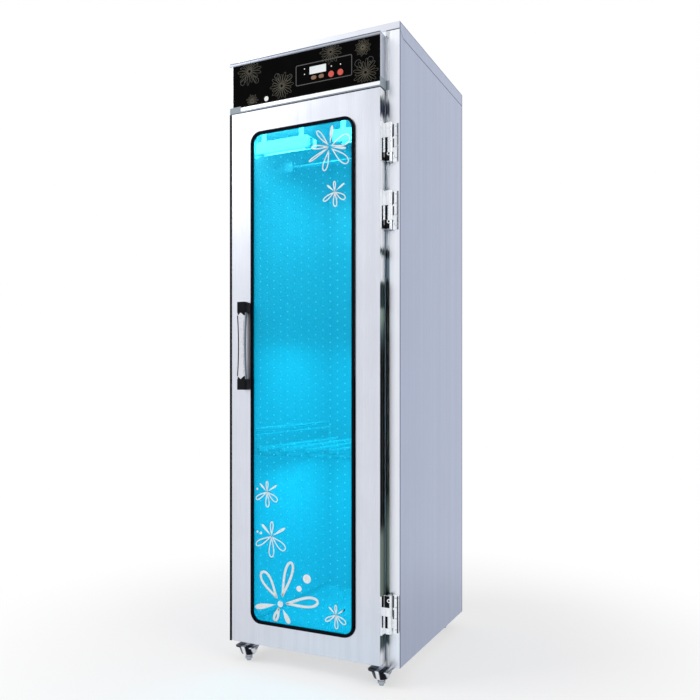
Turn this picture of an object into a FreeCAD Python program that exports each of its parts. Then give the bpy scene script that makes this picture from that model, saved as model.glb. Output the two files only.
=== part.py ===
"""Tall free-standing sterilizer cabinet: stainless carcass, glazed door, UV lamps, warm-air fan.

Millimetres, +Z up, front facing -Y.  The origin is on the floor, at the centre of the plan.
Every driving size lives in the sheet "dims"; each piece is bound to it by expressions.
"""
import FreeCAD, Part
import math
import operator
import os

import Sketcher
from FreeCAD import Placement, Rotation, Vector

DIMENSIONS = {
    # Carcass: outer sheet-metal box on four levelling feet
    "body_width": 555.0,
    "body_depth": 600.0,
    "body_height": 1850.0,
    "foot_height": 50.0,
    "sheet": 1.2,
    "front_return": 31.5,
    "return_lip": 15.0,
    "rear_return": 18.0,
    "cap_side_skirt": 40.0,
    "cap_front_skirt": 21.0,
    "cap_seam_run": 28.0,
    "cap_seam_gap": 0.8,
    "pan_flange": 24.0,
    # Vent slots of the back panel
    "vent_slot_length": 70.0,
    "vent_slot_height": 3.2,
    "vent_pitch": 11.0,
    "vent_rows": 6.0,
    "vent_drop": 165.0,
    # Chamber: doorway and inner liner
    "doorway_left": 45.5,
    "doorway_right": 61.5,
    "doorway_bottom": 45.0,
    "doorway_head": 232.0,
    "doorway_radius": 8.0,
    "doorway_flange": 22.0,
    "liner_sheet": 1.0,
    "rear_wall_gap": 28.0,
    "floor_height": 40.0,
    "ceiling_rise": 8.0,
    "harness_hole_width": 170.0,
    "harness_hole_height": 70.0,
    # Hat-section stiffeners between the outer sheets and the liner
    "spacer_width": 40.0,
    "spacer_sheet": 1.0,
    "spacer_inset": 130.0,
    # Drip tray
    "tray_height": 12.0,
    "tray_sheet": 1.0,
    "tray_side_gap": 8.0,
    "tray_front_gap": 26.0,
    "tray_rear_gap": 11.0,
    # Hanger rod and its wall cups
    "rod_radius": 8.0,
    "rod_setback": 280.0,
    "rod_drop": 54.0,
    "rod_clearance": 0.3,
    "cup_width": 32.0,
    "cup_height": 38.0,
    "cup_depth": 16.0,
    # Tube shelf
    "shelf_height": 607.0,
    "shelf_tube_radius": 8.0,
    "shelf_tube_margin": 37.5,
    "shelf_tube_count": 6.0,
    "shelf_front": 12.0,
    "shelf_back_gap": 12.0,
    "tube_cap_lip": 3.0,
    "tube_wall": 1.0,
    "tube_plug_length": 12.0,
    "rail_radius": 6.0,
    "rail_inset": 18.0,
    "rail_side_gap": 5.0,
    "guard_radius": 4.0,
    "guard_bar_radius": 3.0,
    "guard_rise": 64.0,
    "guard_step": 19.0,
    "guard_bend": 18.0,
    "guard_side_gap": 17.0,
    "weld_gap": 0.1,
    "support_ledge": 22.0,
    "support_web": 26.0,
    "support_sheet": 1.5,
    "support_setback": 25.0,
    # Germicidal lamps under white hoods
    "hood_setback": 35.0,
    "hood_depth": 62.0,
    "hood_drop": 42.0,
    "hood_lip": 36.0,
    "hood_rear_lip": 24.0,
    "hood_inner": 45.0,
    "hood_side_gap": 7.0,
    "hood_sheet": 1.0,
    "hood_strap": 16.0,
    "lamp_radius": 8.0,
    "lamp_drop": 22.0,
    "lamp_base": 12.0,
    "lamp_clearance": 0.2,
    "socket_length": 20.0,
    "socket_width": 22.0,
    # Warm-air unit above the chamber
    "fan_setback": 330.0,
    "fan_size": 120.0,
    "fan_thickness": 25.0,
    "fan_bore": 57.0,
    "fan_corner": 6.0,
    "fan_screw_pitch": 105.0,
    "fan_screw_radius": 2.2,
    "fan_strut": 6.0,
    "fan_strut_root": 0.5,
    "fan_base_radius": 21.0,
    "fan_base_thickness": 4.0,
    "hub_radius": 19.0,
    "blade_count": 7.0,
    "blade_thickness": 1.8,
    "blade_root_chord": 17.0,
    "blade_tip_chord": 26.0,
    "blade_root_pitch": 48.0,
    "blade_tip_pitch": 27.0,
    "blade_tip_gap": 1.5,
    "shaft_radius": 2.5,
    "shaft_clearance": 0.05,
    "shaft_length": 16.0,
    "duct_height": 56.0,
    "duct_sheet": 1.0,
    "duct_flange": 14.0,
    "heater_radius": 3.5,
    "heater_bend": 14.0,
    "heater_span": 84.0,
    "heater_tail": 18.0,
    "guard_ring_radius": 66.0,
    "guard_ring_width": 2.4,
    "guard_ring_pitch": 12.0,
    "guard_ring_count": 5.0,
    "guard_thickness": 2.0,
    # Electrical boxes on the chamber ceiling
    "ballast_length": 150.0,
    "ballast_width": 42.0,
    "ballast_height": 30.0,
    "ballast_foot": 12.0,
    "supply_length": 130.0,
    "supply_width": 86.0,
    "supply_height": 38.0,
    "inner_box_inset": 95.0,
    "inner_box_setback": 120.0,
    "probe_radius": 3.0,
    "probe_length": 46.0,
    "probe_nut": 8.0,
    "probe_drop": 36.0,
    "probe_setback": 480.0,
    # Door
    "door_proud": 40.0,
    "hinge_margin": 44.0,
    "door_lift": 12.6,
    "door_head": 195.0,
    "door_back_gap": 6.0,
    "edge_bend": 1.6,
    "window_left": 83.7,
    "window_right": 82.0,
    "window_foot": 71.4,
    "window_head": 72.0,
    "window_radius": 31.0,
    "seal_overlap": 5.0,
    "seal_proud": 1.6,
    "seal_web": 2.5,
    "seal_rear_lip": 2.0,
    "glass_thickness": 5.0,
    "glass_clearance": 0.2,
    "inner_pan_margin": 9.0,
    "gasket_width": 12.0,
    "gasket_gap": 0.3,
    "gasket_left": 17.5,
    "gasket_right": 3.5,
    "gasket_bottom": 28.0,
    "gasket_head": 208.0,
    "gasket_radius": 9.0,
    "strip_width": 6.5,
    "strip_wall": 1.4,
    # Handle
    "handle_reach": 32.0,
    "handle_inset": 61.0,
    "handle_low": 796.0,
    "handle_length": 269.0,
    "handle_block": 33.0,
    "handle_width": 31.0,
    "handle_root_width": 20.0,
    "handle_bevel": 4.0,
    "bar_setback": 1.5,
    "bar_end_width": 30.0,
    "bar_waist_width": 23.0,
    "bar_depth": 12.0,
    "bar_corner": 3.0,
    "face_end_width": 23.5,
    "face_waist_width": 16.5,
    "face_point": 9.0,
    "face_setback": 0.2,
    # Pinned hinges
    "hinge_length": 110.0,
    "hinge_head": 152.0,
    "hinge_pair_pitch": 193.5,
    "hinge_foot": 142.9,
    "hinge_axis_inset": 25.5,
    "hinge_axis_proud": 13.0,
    "knuckle_radius": 7.0,
    "pin_radius": 4.0,
    "pin_clearance": 0.05,
    "pin_head_radius": 6.0,
    "pin_head_height": 2.0,
    "knuckle_gap": 0.3,
    "knuckle_low": 28.0,
    "knuckle_high": 13.0,
    "foot_knuckle_low": 38.0,
    "foot_knuckle_high": 5.0,
    "boss_radius": 5.0,
    "boss_proud": 2.0,
    "boss_drop": 34.0,
    "foot_boss_rise": 41.0,
    "leaf_thickness": 4.0,
    "leaf_edge_gap": 2.0,
    "frame_leaf_thickness": 5.0,
    "frame_leaf_width": 16.0,
    "frame_leaf_inset": 3.0,
    "frame_leaf_bevel": 4.0,
    "frame_leaf_edge": 1.5,
    # Control housing above the door
    "panel_gap": 2.0,
    "trim_bottom_height": 19.0,
    "overlay_height": 127.0,
    "trim_top_height": 11.0,
    "cheek_width": 11.5,
    "overlay_thickness": 2.0,
    "end_cap_length": 40.0,
    "end_cap_height": 28.0,
    "end_cap_wall": 2.5,
    "display_left": 6.0,
    "display_width": 55.0,
    "display_low": 55.0,
    "display_height": 22.0,
    "display_corner": 1.0,
    "lens_clearance": 0.2,
    "led_radius": 1.8,
    "led_left": -11.0,
    "led_low": 58.5,
    "led_high": 74.5,
    "led_pair_height": 66.5,
    "pilot_radius": 7.5,
    "pilot_left": -144.4,
    "pilot_height": 8.7,
    # Push buttons
    "round_button_radius": 9.0,
    "round_button_one": 78.5,
    "round_button_two": 108.6,
    "oval_button_one": 20.7,
    "oval_button_two": 45.8,
    "oval_button_width": 17.0,
    "oval_button_height": 11.0,
    "oval_button_radius": 5.4,
    "button_height": 43.0,
    "button_proud": 1.8,
    "button_clearance": 0.3,
    "button_flange": 1.6,
    "button_flange_thickness": 1.0,
    "button_travel": 0.8,
    "button_depth": 6.0,
    "board_thickness": 1.6,
    "board_setback": 16.0,
    "board_width": 190.0,
    "board_height": 92.0,
    "board_left": -40.0,
    "board_low": 18.0,
    "board_edge": 1.0,
    "switch_size": 6.0,
    "spacer_post_radius": 3.0,
    # Door switch
    "switch_body_length": 30.0,
    "switch_body_height": 12.0,
    "switch_body_depth": 8.0,
    "magnet_length": 24.0,
    "magnet_thickness": 4.0,
    # Cord gland in the back panel
    "gland_reach": 10.0,
    "gland_bore": 4.2,
    "gland_body": 8.0,
    "gland_head": 12.0,
    "gland_nut": 13.0,
    "gland_nut_length": 6.0,
    "gland_inset": 80.0,
    "gland_height": 70.0,
    # Feet
    "foot_side_inset": 51.5,
    "foot_rear_inset": 51.5,
    "foot_front_reach": 12.0,
    "foot_plate": 3.0,
    "foot_plate_tail": 90.0,
    "foot_plate_margin": 1.5,
    "sleeve_top_radius": 32.0,
    "sleeve_low_radius": 22.0,
    "sleeve_height": 29.0,
    "sleeve_rim": 5.0,
    "sleeve_nose": 6.0,
    "insert_radius": 9.0,
    "insert_clearance": 0.05,
    "insert_tip": 7.0,
    "insert_tip_radius": 7.2,
    "insert_collar": 11.5,
    "insert_collar_height": 6.0,
    "insert_overlap": 24.0,
}

# How far a cutting tool runs past the surface it cuts, and how near counts as the same place.
OVER = 1
NEAR = 0.01

doc = FreeCAD.newDocument("SterilizerCabinet")
sheet = doc.addObject("Spreadsheet::Sheet", "dims")
for row, (alias, number) in enumerate(DIMENSIONS.items(), start=1):
    sheet.set(f"A{row}", alias)
    sheet.set(f"B{row}", str(number))
    sheet.setAlias(f"B{row}", alias)
doc.recompute()


# ---------------------------------------------------------------- sizes as expressions

class Size:
    """A size written as a sheet expression, with the value it has now."""

    def __init__(self, text, value):
        self.text = text
        self.value = value

    def _join(self, other, sign, action, swapped=False):
        other = as_size(other)
        left, right = (other, self) if swapped else (self, other)
        return Size(f"({left.text} {sign} {right.text})", action(left.value, right.value))

    def __add__(self, other):
        return self._join(other, "+", operator.add)

    def __radd__(self, other):
        return self._join(other, "+", operator.add, True)

    def __sub__(self, other):
        return self._join(other, "-", operator.sub)

    def __rsub__(self, other):
        return self._join(other, "-", operator.sub, True)

    def __mul__(self, other):
        return self._join(other, "*", operator.mul)

    def __rmul__(self, other):
        return self._join(other, "*", operator.mul, True)

    def __truediv__(self, other):
        return self._join(other, "/", operator.truediv)

    def __neg__(self):
        return self * -1


def as_size(value):
    """Wrap a plain number so that it can stand beside sheet sizes."""
    return value if isinstance(value, Size) else Size(f"({value:g})", float(value))


class Sheet:
    """Gives each alias of the sheet as a Size: D.body_width."""

    def __getattr__(self, alias):
        return Size(f"dims.{alias}", float(sheet.get(alias)))


D = Sheet()


def bind(thing, name, size):
    """Tie one property of an object to a size."""
    thing.setExpression(name, as_size(size).text)


# ---------------------------------------------------------------- outlines for sketches

def bind_point(sketch, geometry, end, x, y):
    """Fix one end of a sketch edge at (x, y), measured from the sketch's origin."""
    for kind, size in (("DistanceX", as_size(x)), ("DistanceY", as_size(y))):
        index = sketch.addConstraint(Sketcher.Constraint(kind, -1, 1, geometry, end, size.value))
        sketch.setExpression(f"Constraints[{index}]", size.text)


def flat(x, y):
    """The present place of a pair of sizes in a sketch."""
    return Vector(as_size(x).value, as_size(y).value, 0)


def polygon(*points):
    """A closed outline with straight sides."""
    def draw(sketch):
        first = len(sketch.Geometry)
        count = len(points)
        for here, there in zip(points, points[1:] + points[:1]):
            sketch.addGeometry(Part.LineSegment(flat(*here), flat(*there)), False)
        for number in range(count):
            following = first + (number + 1) % count
            sketch.addConstraint(Sketcher.Constraint("Coincident", first + number, 2, following, 1))
        for number, point in enumerate(points):
            bind_point(sketch, first + number, 1, *point)
    return draw


def rectangle(across, up):
    """A rectangle from its two spans."""
    return polygon((across[0], up[0]), (across[1], up[0]), (across[1], up[1]), (across[0], up[1]))


def rounded(across, up, radius):
    """A rectangle whose four corners are arcs."""
    def draw(sketch):
        first = len(sketch.Geometry)
        (left, right), (low, high) = across, up
        sides = [
            ((left + radius, low), (right - radius, low), (right - radius, low + radius), -90),
            ((right, low + radius), (right, high - radius), (right - radius, high - radius), 0),
            ((right - radius, high), (left + radius, high), (left + radius, high - radius), 90),
            ((left, high - radius), (left, low + radius), (left + radius, low + radius), 180),
        ]
        size = as_size(radius)
        for start, end, centre, angle in sides:
            sketch.addGeometry(Part.LineSegment(flat(*start), flat(*end)), False)
            circle = Part.Circle(flat(*centre), Vector(0, 0, 1), size.value)
            sweep = (math.radians(angle), math.radians(angle + 90))
            sketch.addGeometry(Part.ArcOfCircle(circle, *sweep), False)
        for number, (start, end, _, _) in enumerate(sides):
            line = first + 2 * number
            arc = line + 1
            following = first + (2 * number + 2) % 8
            bind_point(sketch, line, 1, *start)
            bind_point(sketch, line, 2, *end)
            sketch.addConstraint(Sketcher.Constraint("Coincident", line, 2, arc, 1))
            sketch.addConstraint(Sketcher.Constraint("Coincident", arc, 2, following, 1))
            index = sketch.addConstraint(Sketcher.Constraint("Radius", arc, size.value))
            sketch.setExpression(f"Constraints[{index}]", size.text)
    return draw


def circle(x, y, radius):
    """A full circle."""
    def draw(sketch):
        size = as_size(radius)
        number = len(sketch.Geometry)
        sketch.addGeometry(Part.Circle(flat(x, y), Vector(0, 0, 1), size.value), False)
        bind_point(sketch, number, 3, x, y)
        index = sketch.addConstraint(Sketcher.Constraint("Radius", number, size.value))
        sketch.setExpression(f"Constraints[{index}]", size.text)
    return draw


# ---------------------------------------------------------------- part-design bodies

# Each sketch plane with the sign that turns a place along its axis into a sketch offset.
PLANES = {"XY": 1, "XZ": -1, "YZ": 1}

# Each pocket with the feature before it, to prove that it removes material.
CUTS = []


class Piece:
    """A PartDesign body and the features that shape it."""

    def __init__(self, label):
        self.label = label
        self.body = doc.addObject("PartDesign::Body", label)

    def sketch(self, plane, offset, *outlines):
        """Draw outlines on one of the body's own planes, moved along its normal."""
        count = len(self.body.Group) + 1
        drawing = self.body.newObject("Sketcher::SketchObject", f"{self.label}_sketch_{count}")
        features = self.body.Origin.OriginFeatures
        support = next(item for item in features if item.Role == f"{plane}_Plane")
        drawing.AttachmentSupport = (support, [""])
        drawing.MapMode = "FlatFace"
        bind(drawing, "AttachmentOffset.Base.z", PLANES[plane] * as_size(offset))
        for draw in outlines:
            draw(drawing)
        return drawing

    def feature(self, kind, profile):
        """Add one PartDesign feature that reads a sketch."""
        count = len(self.body.Group) + 1
        made = self.body.newObject(f"PartDesign::{kind}", f"{self.label}_{kind}_{count}")
        made.Profile = profile
        profile.Visibility = False
        return made

    def pad(self, plane, span, *outlines):
        """Add material between the two places of a span."""
        low, high = span
        start = high if plane == "XZ" else low
        made = self.feature("Pad", self.sketch(plane, start, *outlines))
        bind(made, "Length", high - low)
        return made

    def pocket(self, plane, span, *outlines):
        """Take material away between the two places of a span."""
        low, high = span
        start = low if plane == "XZ" else high
        before = self.body.Tip
        made = self.feature("Pocket", self.sketch(plane, start, *outlines))
        bind(made, "Length", high - low)
        CUTS.append((before, made))
        return made

    def revolve(self, plane, offset, axis, *outlines):
        """Turn outlines a full circle about an axis of their sketch ("H_Axis" or "V_Axis")."""
        drawing = self.sketch(plane, offset, *outlines)
        made = self.feature("Revolution", drawing)
        made.ReferenceAxis = (drawing, [axis])
        made.Angle = 360
        return made

    def row(self, feature, direction, length, count):
        """Repeat a feature along a straight line of a sketch axis."""
        made = self.body.newObject("PartDesign::LinearPattern", f"{self.label}_row")
        made.Originals = [feature]
        made.Direction = (feature.Profile[0], [direction])
        bind(made, "Length", length)
        bind(made, "Occurrences", count)
        self.body.Tip = made
        return made

    def fillet(self, radius, chosen):
        """Round the edges of the present shape for which chosen(edge) is true."""
        doc.recompute()
        base = self.body.Tip
        names = [f"Edge{n}" for n, edge in enumerate(base.Shape.Edges, start=1) if chosen(edge)]
        made = self.body.newObject("PartDesign::Fillet", f"{self.label}_fillet")
        made.Base = (base, names)
        bind(made, "Radius", radius)
        return made


# ---------------------------------------------------------------- part primitives

def place(thing, x, y, z, rotation=None):
    """Tie an object's position to three sizes, with a fixed turn."""
    if rotation is not None:
        thing.Placement = Placement(Vector(), rotation)
    for letter, size in zip("xyz", (x, y, z)):
        bind(thing, f"Placement.Base.{letter}", size)
    return thing


def block(label, xs, ys, zs):
    """A box from its three spans."""
    thing = doc.addObject("Part::Box", label)
    for name, (low, high) in zip(("Length", "Width", "Height"), (xs, ys, zs)):
        bind(thing, name, high - low)
    return place(thing, xs[0], ys[0], zs[0])


TURNS = {
    "X": Rotation(Vector(0, 1, 0), 90),
    "Y": Rotation(Vector(1, 0, 0), -90),
    "Z": Rotation(),
}


def cylinder(label, axis, start, length, radius):
    """A round bar from a start point, along a positive axis."""
    thing = doc.addObject("Part::Cylinder", label)
    bind(thing, "Radius", radius)
    bind(thing, "Height", length)
    return place(thing, *start, TURNS[axis])


def cut(label, base, *tools):
    """One solid less the others."""
    thing = doc.addObject("Part::Cut", label)
    thing.Base = base
    thing.Tool = tools[0] if len(tools) == 1 else fuse(f"{label}_tools", *tools)
    return thing


def fuse(label, *pieces):
    """Several solids joined into one."""
    thing = doc.addObject("Part::MultiFuse", label)
    thing.Shapes = list(pieces)
    return thing


def group(label, *pieces):
    """Several solids kept apart in one sub-part."""
    thing = doc.addObject("Part::Compound", label)
    thing.Links = list(pieces)
    return thing


SUB_PARTS = []


def sub_part(thing, label):
    """Register a finished object as a sub-part of the cabinet."""
    made = thing.body if isinstance(thing, Piece) else thing
    made.Label = label
    SUB_PARTS.append(thing)
    return made


def mirrored_pair(function):
    """Run a builder once for the left (-1) and once for the right (+1)."""
    return [function(side, name) for side, name in ((-1, "left"), (1, "right"))]


# ---------------------------------------------------------------- shared places

half = D.body_width / 2
front = D.handle_reach + D.door_proud - (
    D.handle_reach + D.door_proud + D.body_depth + D.gland_reach) / 2
back = front + D.body_depth
base = D.foot_height
top = base + D.body_height
seam_side = top - D.cap_side_skirt
seam_front = top - D.cap_front_skirt

inner_half = half - D.front_return
doorway_x = (D.doorway_left - half, half - D.doorway_right)
doorway_z = (base + D.doorway_bottom, top - D.doorway_head)
liner_face = inner_half - D.liner_sheet
liner_front = front + D.sheet
liner_back = back - D.rear_wall_gap
floor_top = base + D.floor_height
ceiling = doorway_z[1] + D.ceiling_rise
ceiling_top = ceiling + D.liner_sheet

door_front = front - D.door_proud
door_back = front - D.door_back_gap
door_x = (-half, half - D.hinge_margin)
door_z = (base + D.door_lift, top - D.door_head)
window_x = (D.window_left - half, door_x[1] - D.window_right)
window_z = (door_z[0] + D.window_foot, door_z[1] - D.window_head)

panel_z = (door_z[1] + D.panel_gap, door_z[1] + D.panel_gap
           + D.trim_bottom_height + D.overlay_height + D.trim_top_height)
overlay_z = (panel_z[0] + D.trim_bottom_height, panel_z[1] - D.trim_top_height)
overlay_x = (D.cheek_width - half, door_x[1])
housing_front = door_front + D.overlay_thickness

hinge_x = half - D.hinge_axis_inset
hinge_y = front - D.hinge_axis_proud
hinge_high = door_z[1] - D.hinge_head
hinge_centres = [door_z[0] + D.hinge_foot, hinge_high - D.hinge_pair_pitch, hinge_high]


def grown(span, by):
    """A span made longer by the same size at both ends."""
    return (span[0] - by, span[1] + by)


# ---------------------------------------------------------------- carcass

def side_panel(side, name):
    """Folded side sheet: front face return with a lip, and a joggled rear return."""
    piece = Piece(f"side_panel_{name}")
    thick = D.sheet

    def at(inset, y):
        return (side * (half - inset), y)

    profile = polygon(
        at(0, front), at(0, back), at(thick, back), at(thick, back - thick),
        at(D.rear_return, back - thick), at(D.rear_return, back - 2 * thick),
        at(thick, back - 2 * thick), at(thick, front + thick),
        at(D.front_return - thick, front + thick),
        at(D.front_return - thick, front + D.return_lip),
        at(D.front_return, front + D.return_lip), at(D.front_return, front))
    piece.pad("XY", (base, seam_front), profile)
    low = seam_side - D.cap_seam_gap
    seam = polygon(
        (front, seam_front - D.cap_seam_gap), (front + D.cap_seam_run, low), (back + OVER, low),
        (back + OVER, top), (front - OVER, top), (front - OVER, seam_front - D.cap_seam_gap))
    reach = D.front_return + OVER
    span = (half - reach, half + OVER) if side > 0 else (-half - OVER, reach - half)
    piece.pocket("YZ", span, seam)
    return sub_part(piece, f"side_panel_{name}")


def back_panel():
    """Rear sheet between the side webs, with two banks of vent slots and the gland hole."""
    piece = Piece("back_panel")
    ys = (back - D.sheet, back)
    width = half - D.sheet - D.cap_seam_gap
    piece.pad("XZ", ys, rectangle((-width, width), (base, seam_side - D.cap_seam_gap)),
              circle(D.gland_inset - half, base + D.gland_height, D.gland_body + D.lens_clearance))
    low = top - D.vent_drop
    for centre in (-half / 2, half / 2):
        reach = D.vent_slot_length / 2
        slot = piece.pocket("XZ", grown(ys, OVER), rectangle(
            (centre - reach, centre + reach), (low, low + D.vent_slot_height)))
        piece.row(slot, "V_Axis", D.vent_pitch * (D.vent_rows - 1), D.vent_rows)
    return sub_part(piece, "back_panel")


def base_pan():
    """Bottom pan with upturned flanges that the foot sleeves bolt to."""
    xs = (D.sheet - half, half - D.sheet)
    ys = (front + D.return_lip, back - 2 * D.sheet)
    outer = block("base_pan_blank", xs, ys, (base, base + D.pan_flange))
    inner = block("base_pan_hollow", grown(xs, -D.sheet), grown(ys, -D.sheet),
                  (base + D.sheet, base + D.pan_flange + OVER))
    return sub_part(cut("base_pan", outer, inner), "base_pan")


def top_cap():
    """Lid whose side skirts are deeper than its front skirt, joined by a short slope."""
    piece = Piece("top_cap")
    xs, ys = (-half, half), (front, back)
    piece.pad("XY", (seam_side, top), rectangle(xs, ys))
    piece.pocket("XY", (seam_side - OVER, top - D.sheet),
                 rectangle(grown(xs, -D.sheet), grown(ys, -D.sheet)))
    slope = polygon(
        (front - OVER, seam_side - OVER), (front + D.cap_seam_run, seam_side - OVER),
        (front + D.cap_seam_run, seam_side), (front, seam_front), (front - OVER, seam_front))
    piece.pocket("YZ", grown(xs, OVER), slope)
    return sub_part(piece, "top_cap")


def front_frame():
    """Front sheet between the side returns: doorway with a folded flange, header above it."""
    piece = Piece("front_frame")
    xs = (-inner_half, inner_half)
    harness_x = (-D.harness_hole_width / 2, D.harness_hole_width / 2)
    harness_low = overlay_z[0] + D.harness_hole_height / 4
    piece.pad("XZ", (front, front + D.sheet), rectangle(xs, (base, seam_front - D.cap_seam_gap)),
              rounded(doorway_x, doorway_z, D.doorway_radius),
              rounded(harness_x, (harness_low, harness_low + D.harness_hole_height), D.doorway_radius))
    flange_radius = D.doorway_radius + D.sheet
    piece.pad("XZ", (front, front + D.doorway_flange),
              rounded(grown(doorway_x, D.sheet), grown(doorway_z, D.sheet), flange_radius),
              rounded(doorway_x, doorway_z, D.doorway_radius))
    piece.pad("XZ", (front, front + D.return_lip), rectangle(xs, (base, base + D.sheet)))
    return sub_part(piece, "front_frame")


def liner():
    """Five polished sheets that close the chamber."""
    zs = (floor_top - D.liner_sheet, ceiling_top)
    ys = (liner_front, liner_back + D.liner_sheet)
    across = (-liner_face, liner_face)
    sub_part(block("liner_left", (-inner_half, -liner_face), ys, zs), "liner_left")
    sub_part(block("liner_right", (liner_face, inner_half), ys, zs), "liner_right")
    sub_part(block("liner_back", across, (liner_back, liner_back + D.liner_sheet), zs), "liner_back")
    inside = (liner_front, liner_back)
    sub_part(block("liner_floor", across, inside, (floor_top - D.liner_sheet, floor_top)), "liner_floor")
    piece = Piece("liner_ceiling")
    piece.pad("XY", (ceiling, ceiling_top), rectangle(across, inside),
              circle(0, front + D.fan_setback, D.fan_bore))
    sub_part(piece, "liner_ceiling")


def hat_channel(label, plane, centre, seat, height, span):
    """A hat-section stiffener: two feet on its seat, and a crown at the given height."""
    thick = D.spacer_sheet
    wide = D.spacer_width / 2
    foot = D.spacer_width / 4
    sign = 1 if height.value > 0 else -1

    def at(across, up):
        return (seat + sign * up, centre + across) if plane == "XY" else (centre + across, seat + up)

    rise = sign * height
    piece = Piece(label)
    piece.pad(plane, span, polygon(
        at(-wide - foot, 0), at(-wide - foot, thick), at(-wide, thick), at(-wide, rise),
        at(wide, rise), at(wide, thick), at(wide + foot, thick), at(wide + foot, 0),
        at(wide - thick, 0), at(wide - thick, rise - thick), at(thick - wide, rise - thick),
        at(thick - wide, 0)))
    return piece.body


def wall_spacers():
    """Upright hat channels in the side walls and two bearers under the chamber floor."""
    pieces = []
    uprights = (("front", front + D.spacer_inset), ("rear", liner_back - D.spacer_inset))
    zs = (floor_top, ceiling)
    rise = D.front_return - D.sheet
    for name, centre in uprights:
        pieces.append(hat_channel(f"spacer_left_{name}", "XY", centre, D.sheet - half, rise, zs))
        pieces.append(hat_channel(f"spacer_right_{name}", "XY", centre, half - D.sheet, -rise, zs))
        bearer = hat_channel(f"spacer_floor_{name}", "YZ", centre, base + D.sheet,
                             floor_top - D.liner_sheet - base - D.sheet,
                             (D.sheet * 3 - half, half - D.sheet * 3))
        pieces.append(bearer)
    return sub_part(group("wall_spacers", *pieces), "wall_spacers")


# ---------------------------------------------------------------- chamber fittings

def drip_tray():
    """Shallow lift-out tray on the chamber floor."""
    xs = (D.tray_side_gap - liner_face, liner_face - D.tray_side_gap)
    ys = (front + D.tray_front_gap, liner_back - D.tray_rear_gap)
    zs = (floor_top, floor_top + D.tray_height)
    piece = Piece("drip_tray")
    piece.pad("XY", zs, rounded(xs, ys, D.doorway_radius))
    piece.pocket("XY", (zs[0] + D.tray_sheet, zs[1] + OVER), rounded(
        grown(xs, -D.tray_sheet), grown(ys, -D.tray_sheet), D.doorway_radius - D.tray_sheet))
    return sub_part(piece, "drip_tray")


def hanger_rod():
    """Cross rod laid in two open cups on the side liners."""
    y = front + D.rod_setback
    z = ceiling - D.rod_drop
    start = D.sheet - liner_face
    rod = cylinder("hanger_rod", "X", (start, y, z), liner_face * 2 - D.sheet * 2, D.rod_radius)
    sub_part(rod, "hanger_rod")

    def cup(side, name):
        piece = Piece(f"rod_cup_{name}")
        wide = D.cup_width / 2
        slot = D.rod_radius + D.rod_clearance
        low = z - D.rod_radius - D.cup_height / 3
        high = low + D.cup_height
        xs = (liner_face - D.cup_depth, liner_face) if side > 0 else (-liner_face, D.cup_depth - liner_face)
        piece.pad("YZ", xs, rounded((y - wide, y + wide), (low, high), D.guard_radius))
        inner = (xs[0] - OVER, xs[1] - D.sheet) if side > 0 else (xs[0] + D.sheet, xs[1] + OVER)
        piece.pocket("YZ", inner, rectangle((y - slot, y + slot), (z, high + OVER)))
        piece.pocket("YZ", inner, circle(y, z, slot))
        return piece.body

    return sub_part(group("rod_brackets", *mirrored_pair(cup)), "rod_brackets")


def shelf():
    """Shelf of front-to-back tubes with white plugs, on a welded frame with side guards."""
    z = base + D.shelf_height
    y_start = front + D.shelf_front
    y_end = liner_back - D.shelf_back_gap
    radius = D.shelf_tube_radius
    tubes, plugs = [], []
    count = int(D.shelf_tube_count.value)
    pitch = (liner_face - D.shelf_tube_margin) * 2 / (D.shelf_tube_count - 1)
    for number in range(count):
        x = pitch * (number - (count - 1) / 2)
        tube = cylinder(f"shelf_tube_{number}", "Y", (x, y_start, z), y_end - y_start, radius)
        bore = cylinder(f"shelf_bore_{number}", "Y", (x, y_start - OVER, z),
                        y_end - y_start + 2 * OVER, radius - D.tube_wall)
        tubes.append(cut(f"shelf_pipe_{number}", tube, bore))
        plug = Piece(f"tube_plug_{number}")
        plug.pad("XZ", (y_start - D.tube_cap_lip, y_start), circle(x, z, radius))
        plug.pad("XZ", (y_start, y_start + D.tube_plug_length), circle(x, z, radius - D.tube_wall))
        plugs.append(plug.body)
    sub_part(group("shelf_tubes", *tubes), "shelf_tubes")
    sub_part(group("shelf_tube_caps", *plugs), "shelf_tube_caps")

    rail_z = z - radius - D.rail_radius - D.weld_gap
    rail_top = rail_z + D.rail_radius + D.weld_gap
    rail_reach = liner_face - D.rail_side_gap
    rail_y = (y_start + D.rail_inset, y_end - D.rail_inset)
    members = []
    for name, y in zip(("front", "rear"), rail_y):
        members.append(cylinder(f"shelf_rail_{name}", "X", (-rail_reach, y, rail_z),
                                rail_reach * 2, D.rail_radius))

    def guard(side, name):
        x = side * (liner_face - D.guard_side_gap)
        high = z + D.guard_rise
        hoop = guard_hoop(f"shelf_hoop_{name}", x, rail_y, rail_top, high)
        bar = cylinder(f"shelf_bar_{name}", "Y", (x, rail_y[0], high - D.guard_step),
                       rail_y[1] - rail_y[0], D.guard_bar_radius)
        return fuse(f"shelf_guard_{name}", hoop, bar)

    members.extend(mirrored_pair(guard))
    sub_part(group("shelf_frame", *members), "shelf_frame")

    def ledge(side, name):
        piece = Piece(f"shelf_ledge_{name}")
        seat = rail_z - D.rail_radius
        thick = D.support_sheet

        def at(inset, up):
            return (side * (liner_face - inset), up)

        piece.pad("XZ", (front + D.support_setback, y_end), polygon(
            at(0, seat), at(D.support_ledge, seat), at(D.support_ledge, seat - thick),
            at(thick, seat - thick), at(thick, seat - D.support_web), at(0, seat - D.support_web)))
        return piece.body

    sub_part(group("shelf_supports", *mirrored_pair(ledge)), "shelf_supports")


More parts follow.
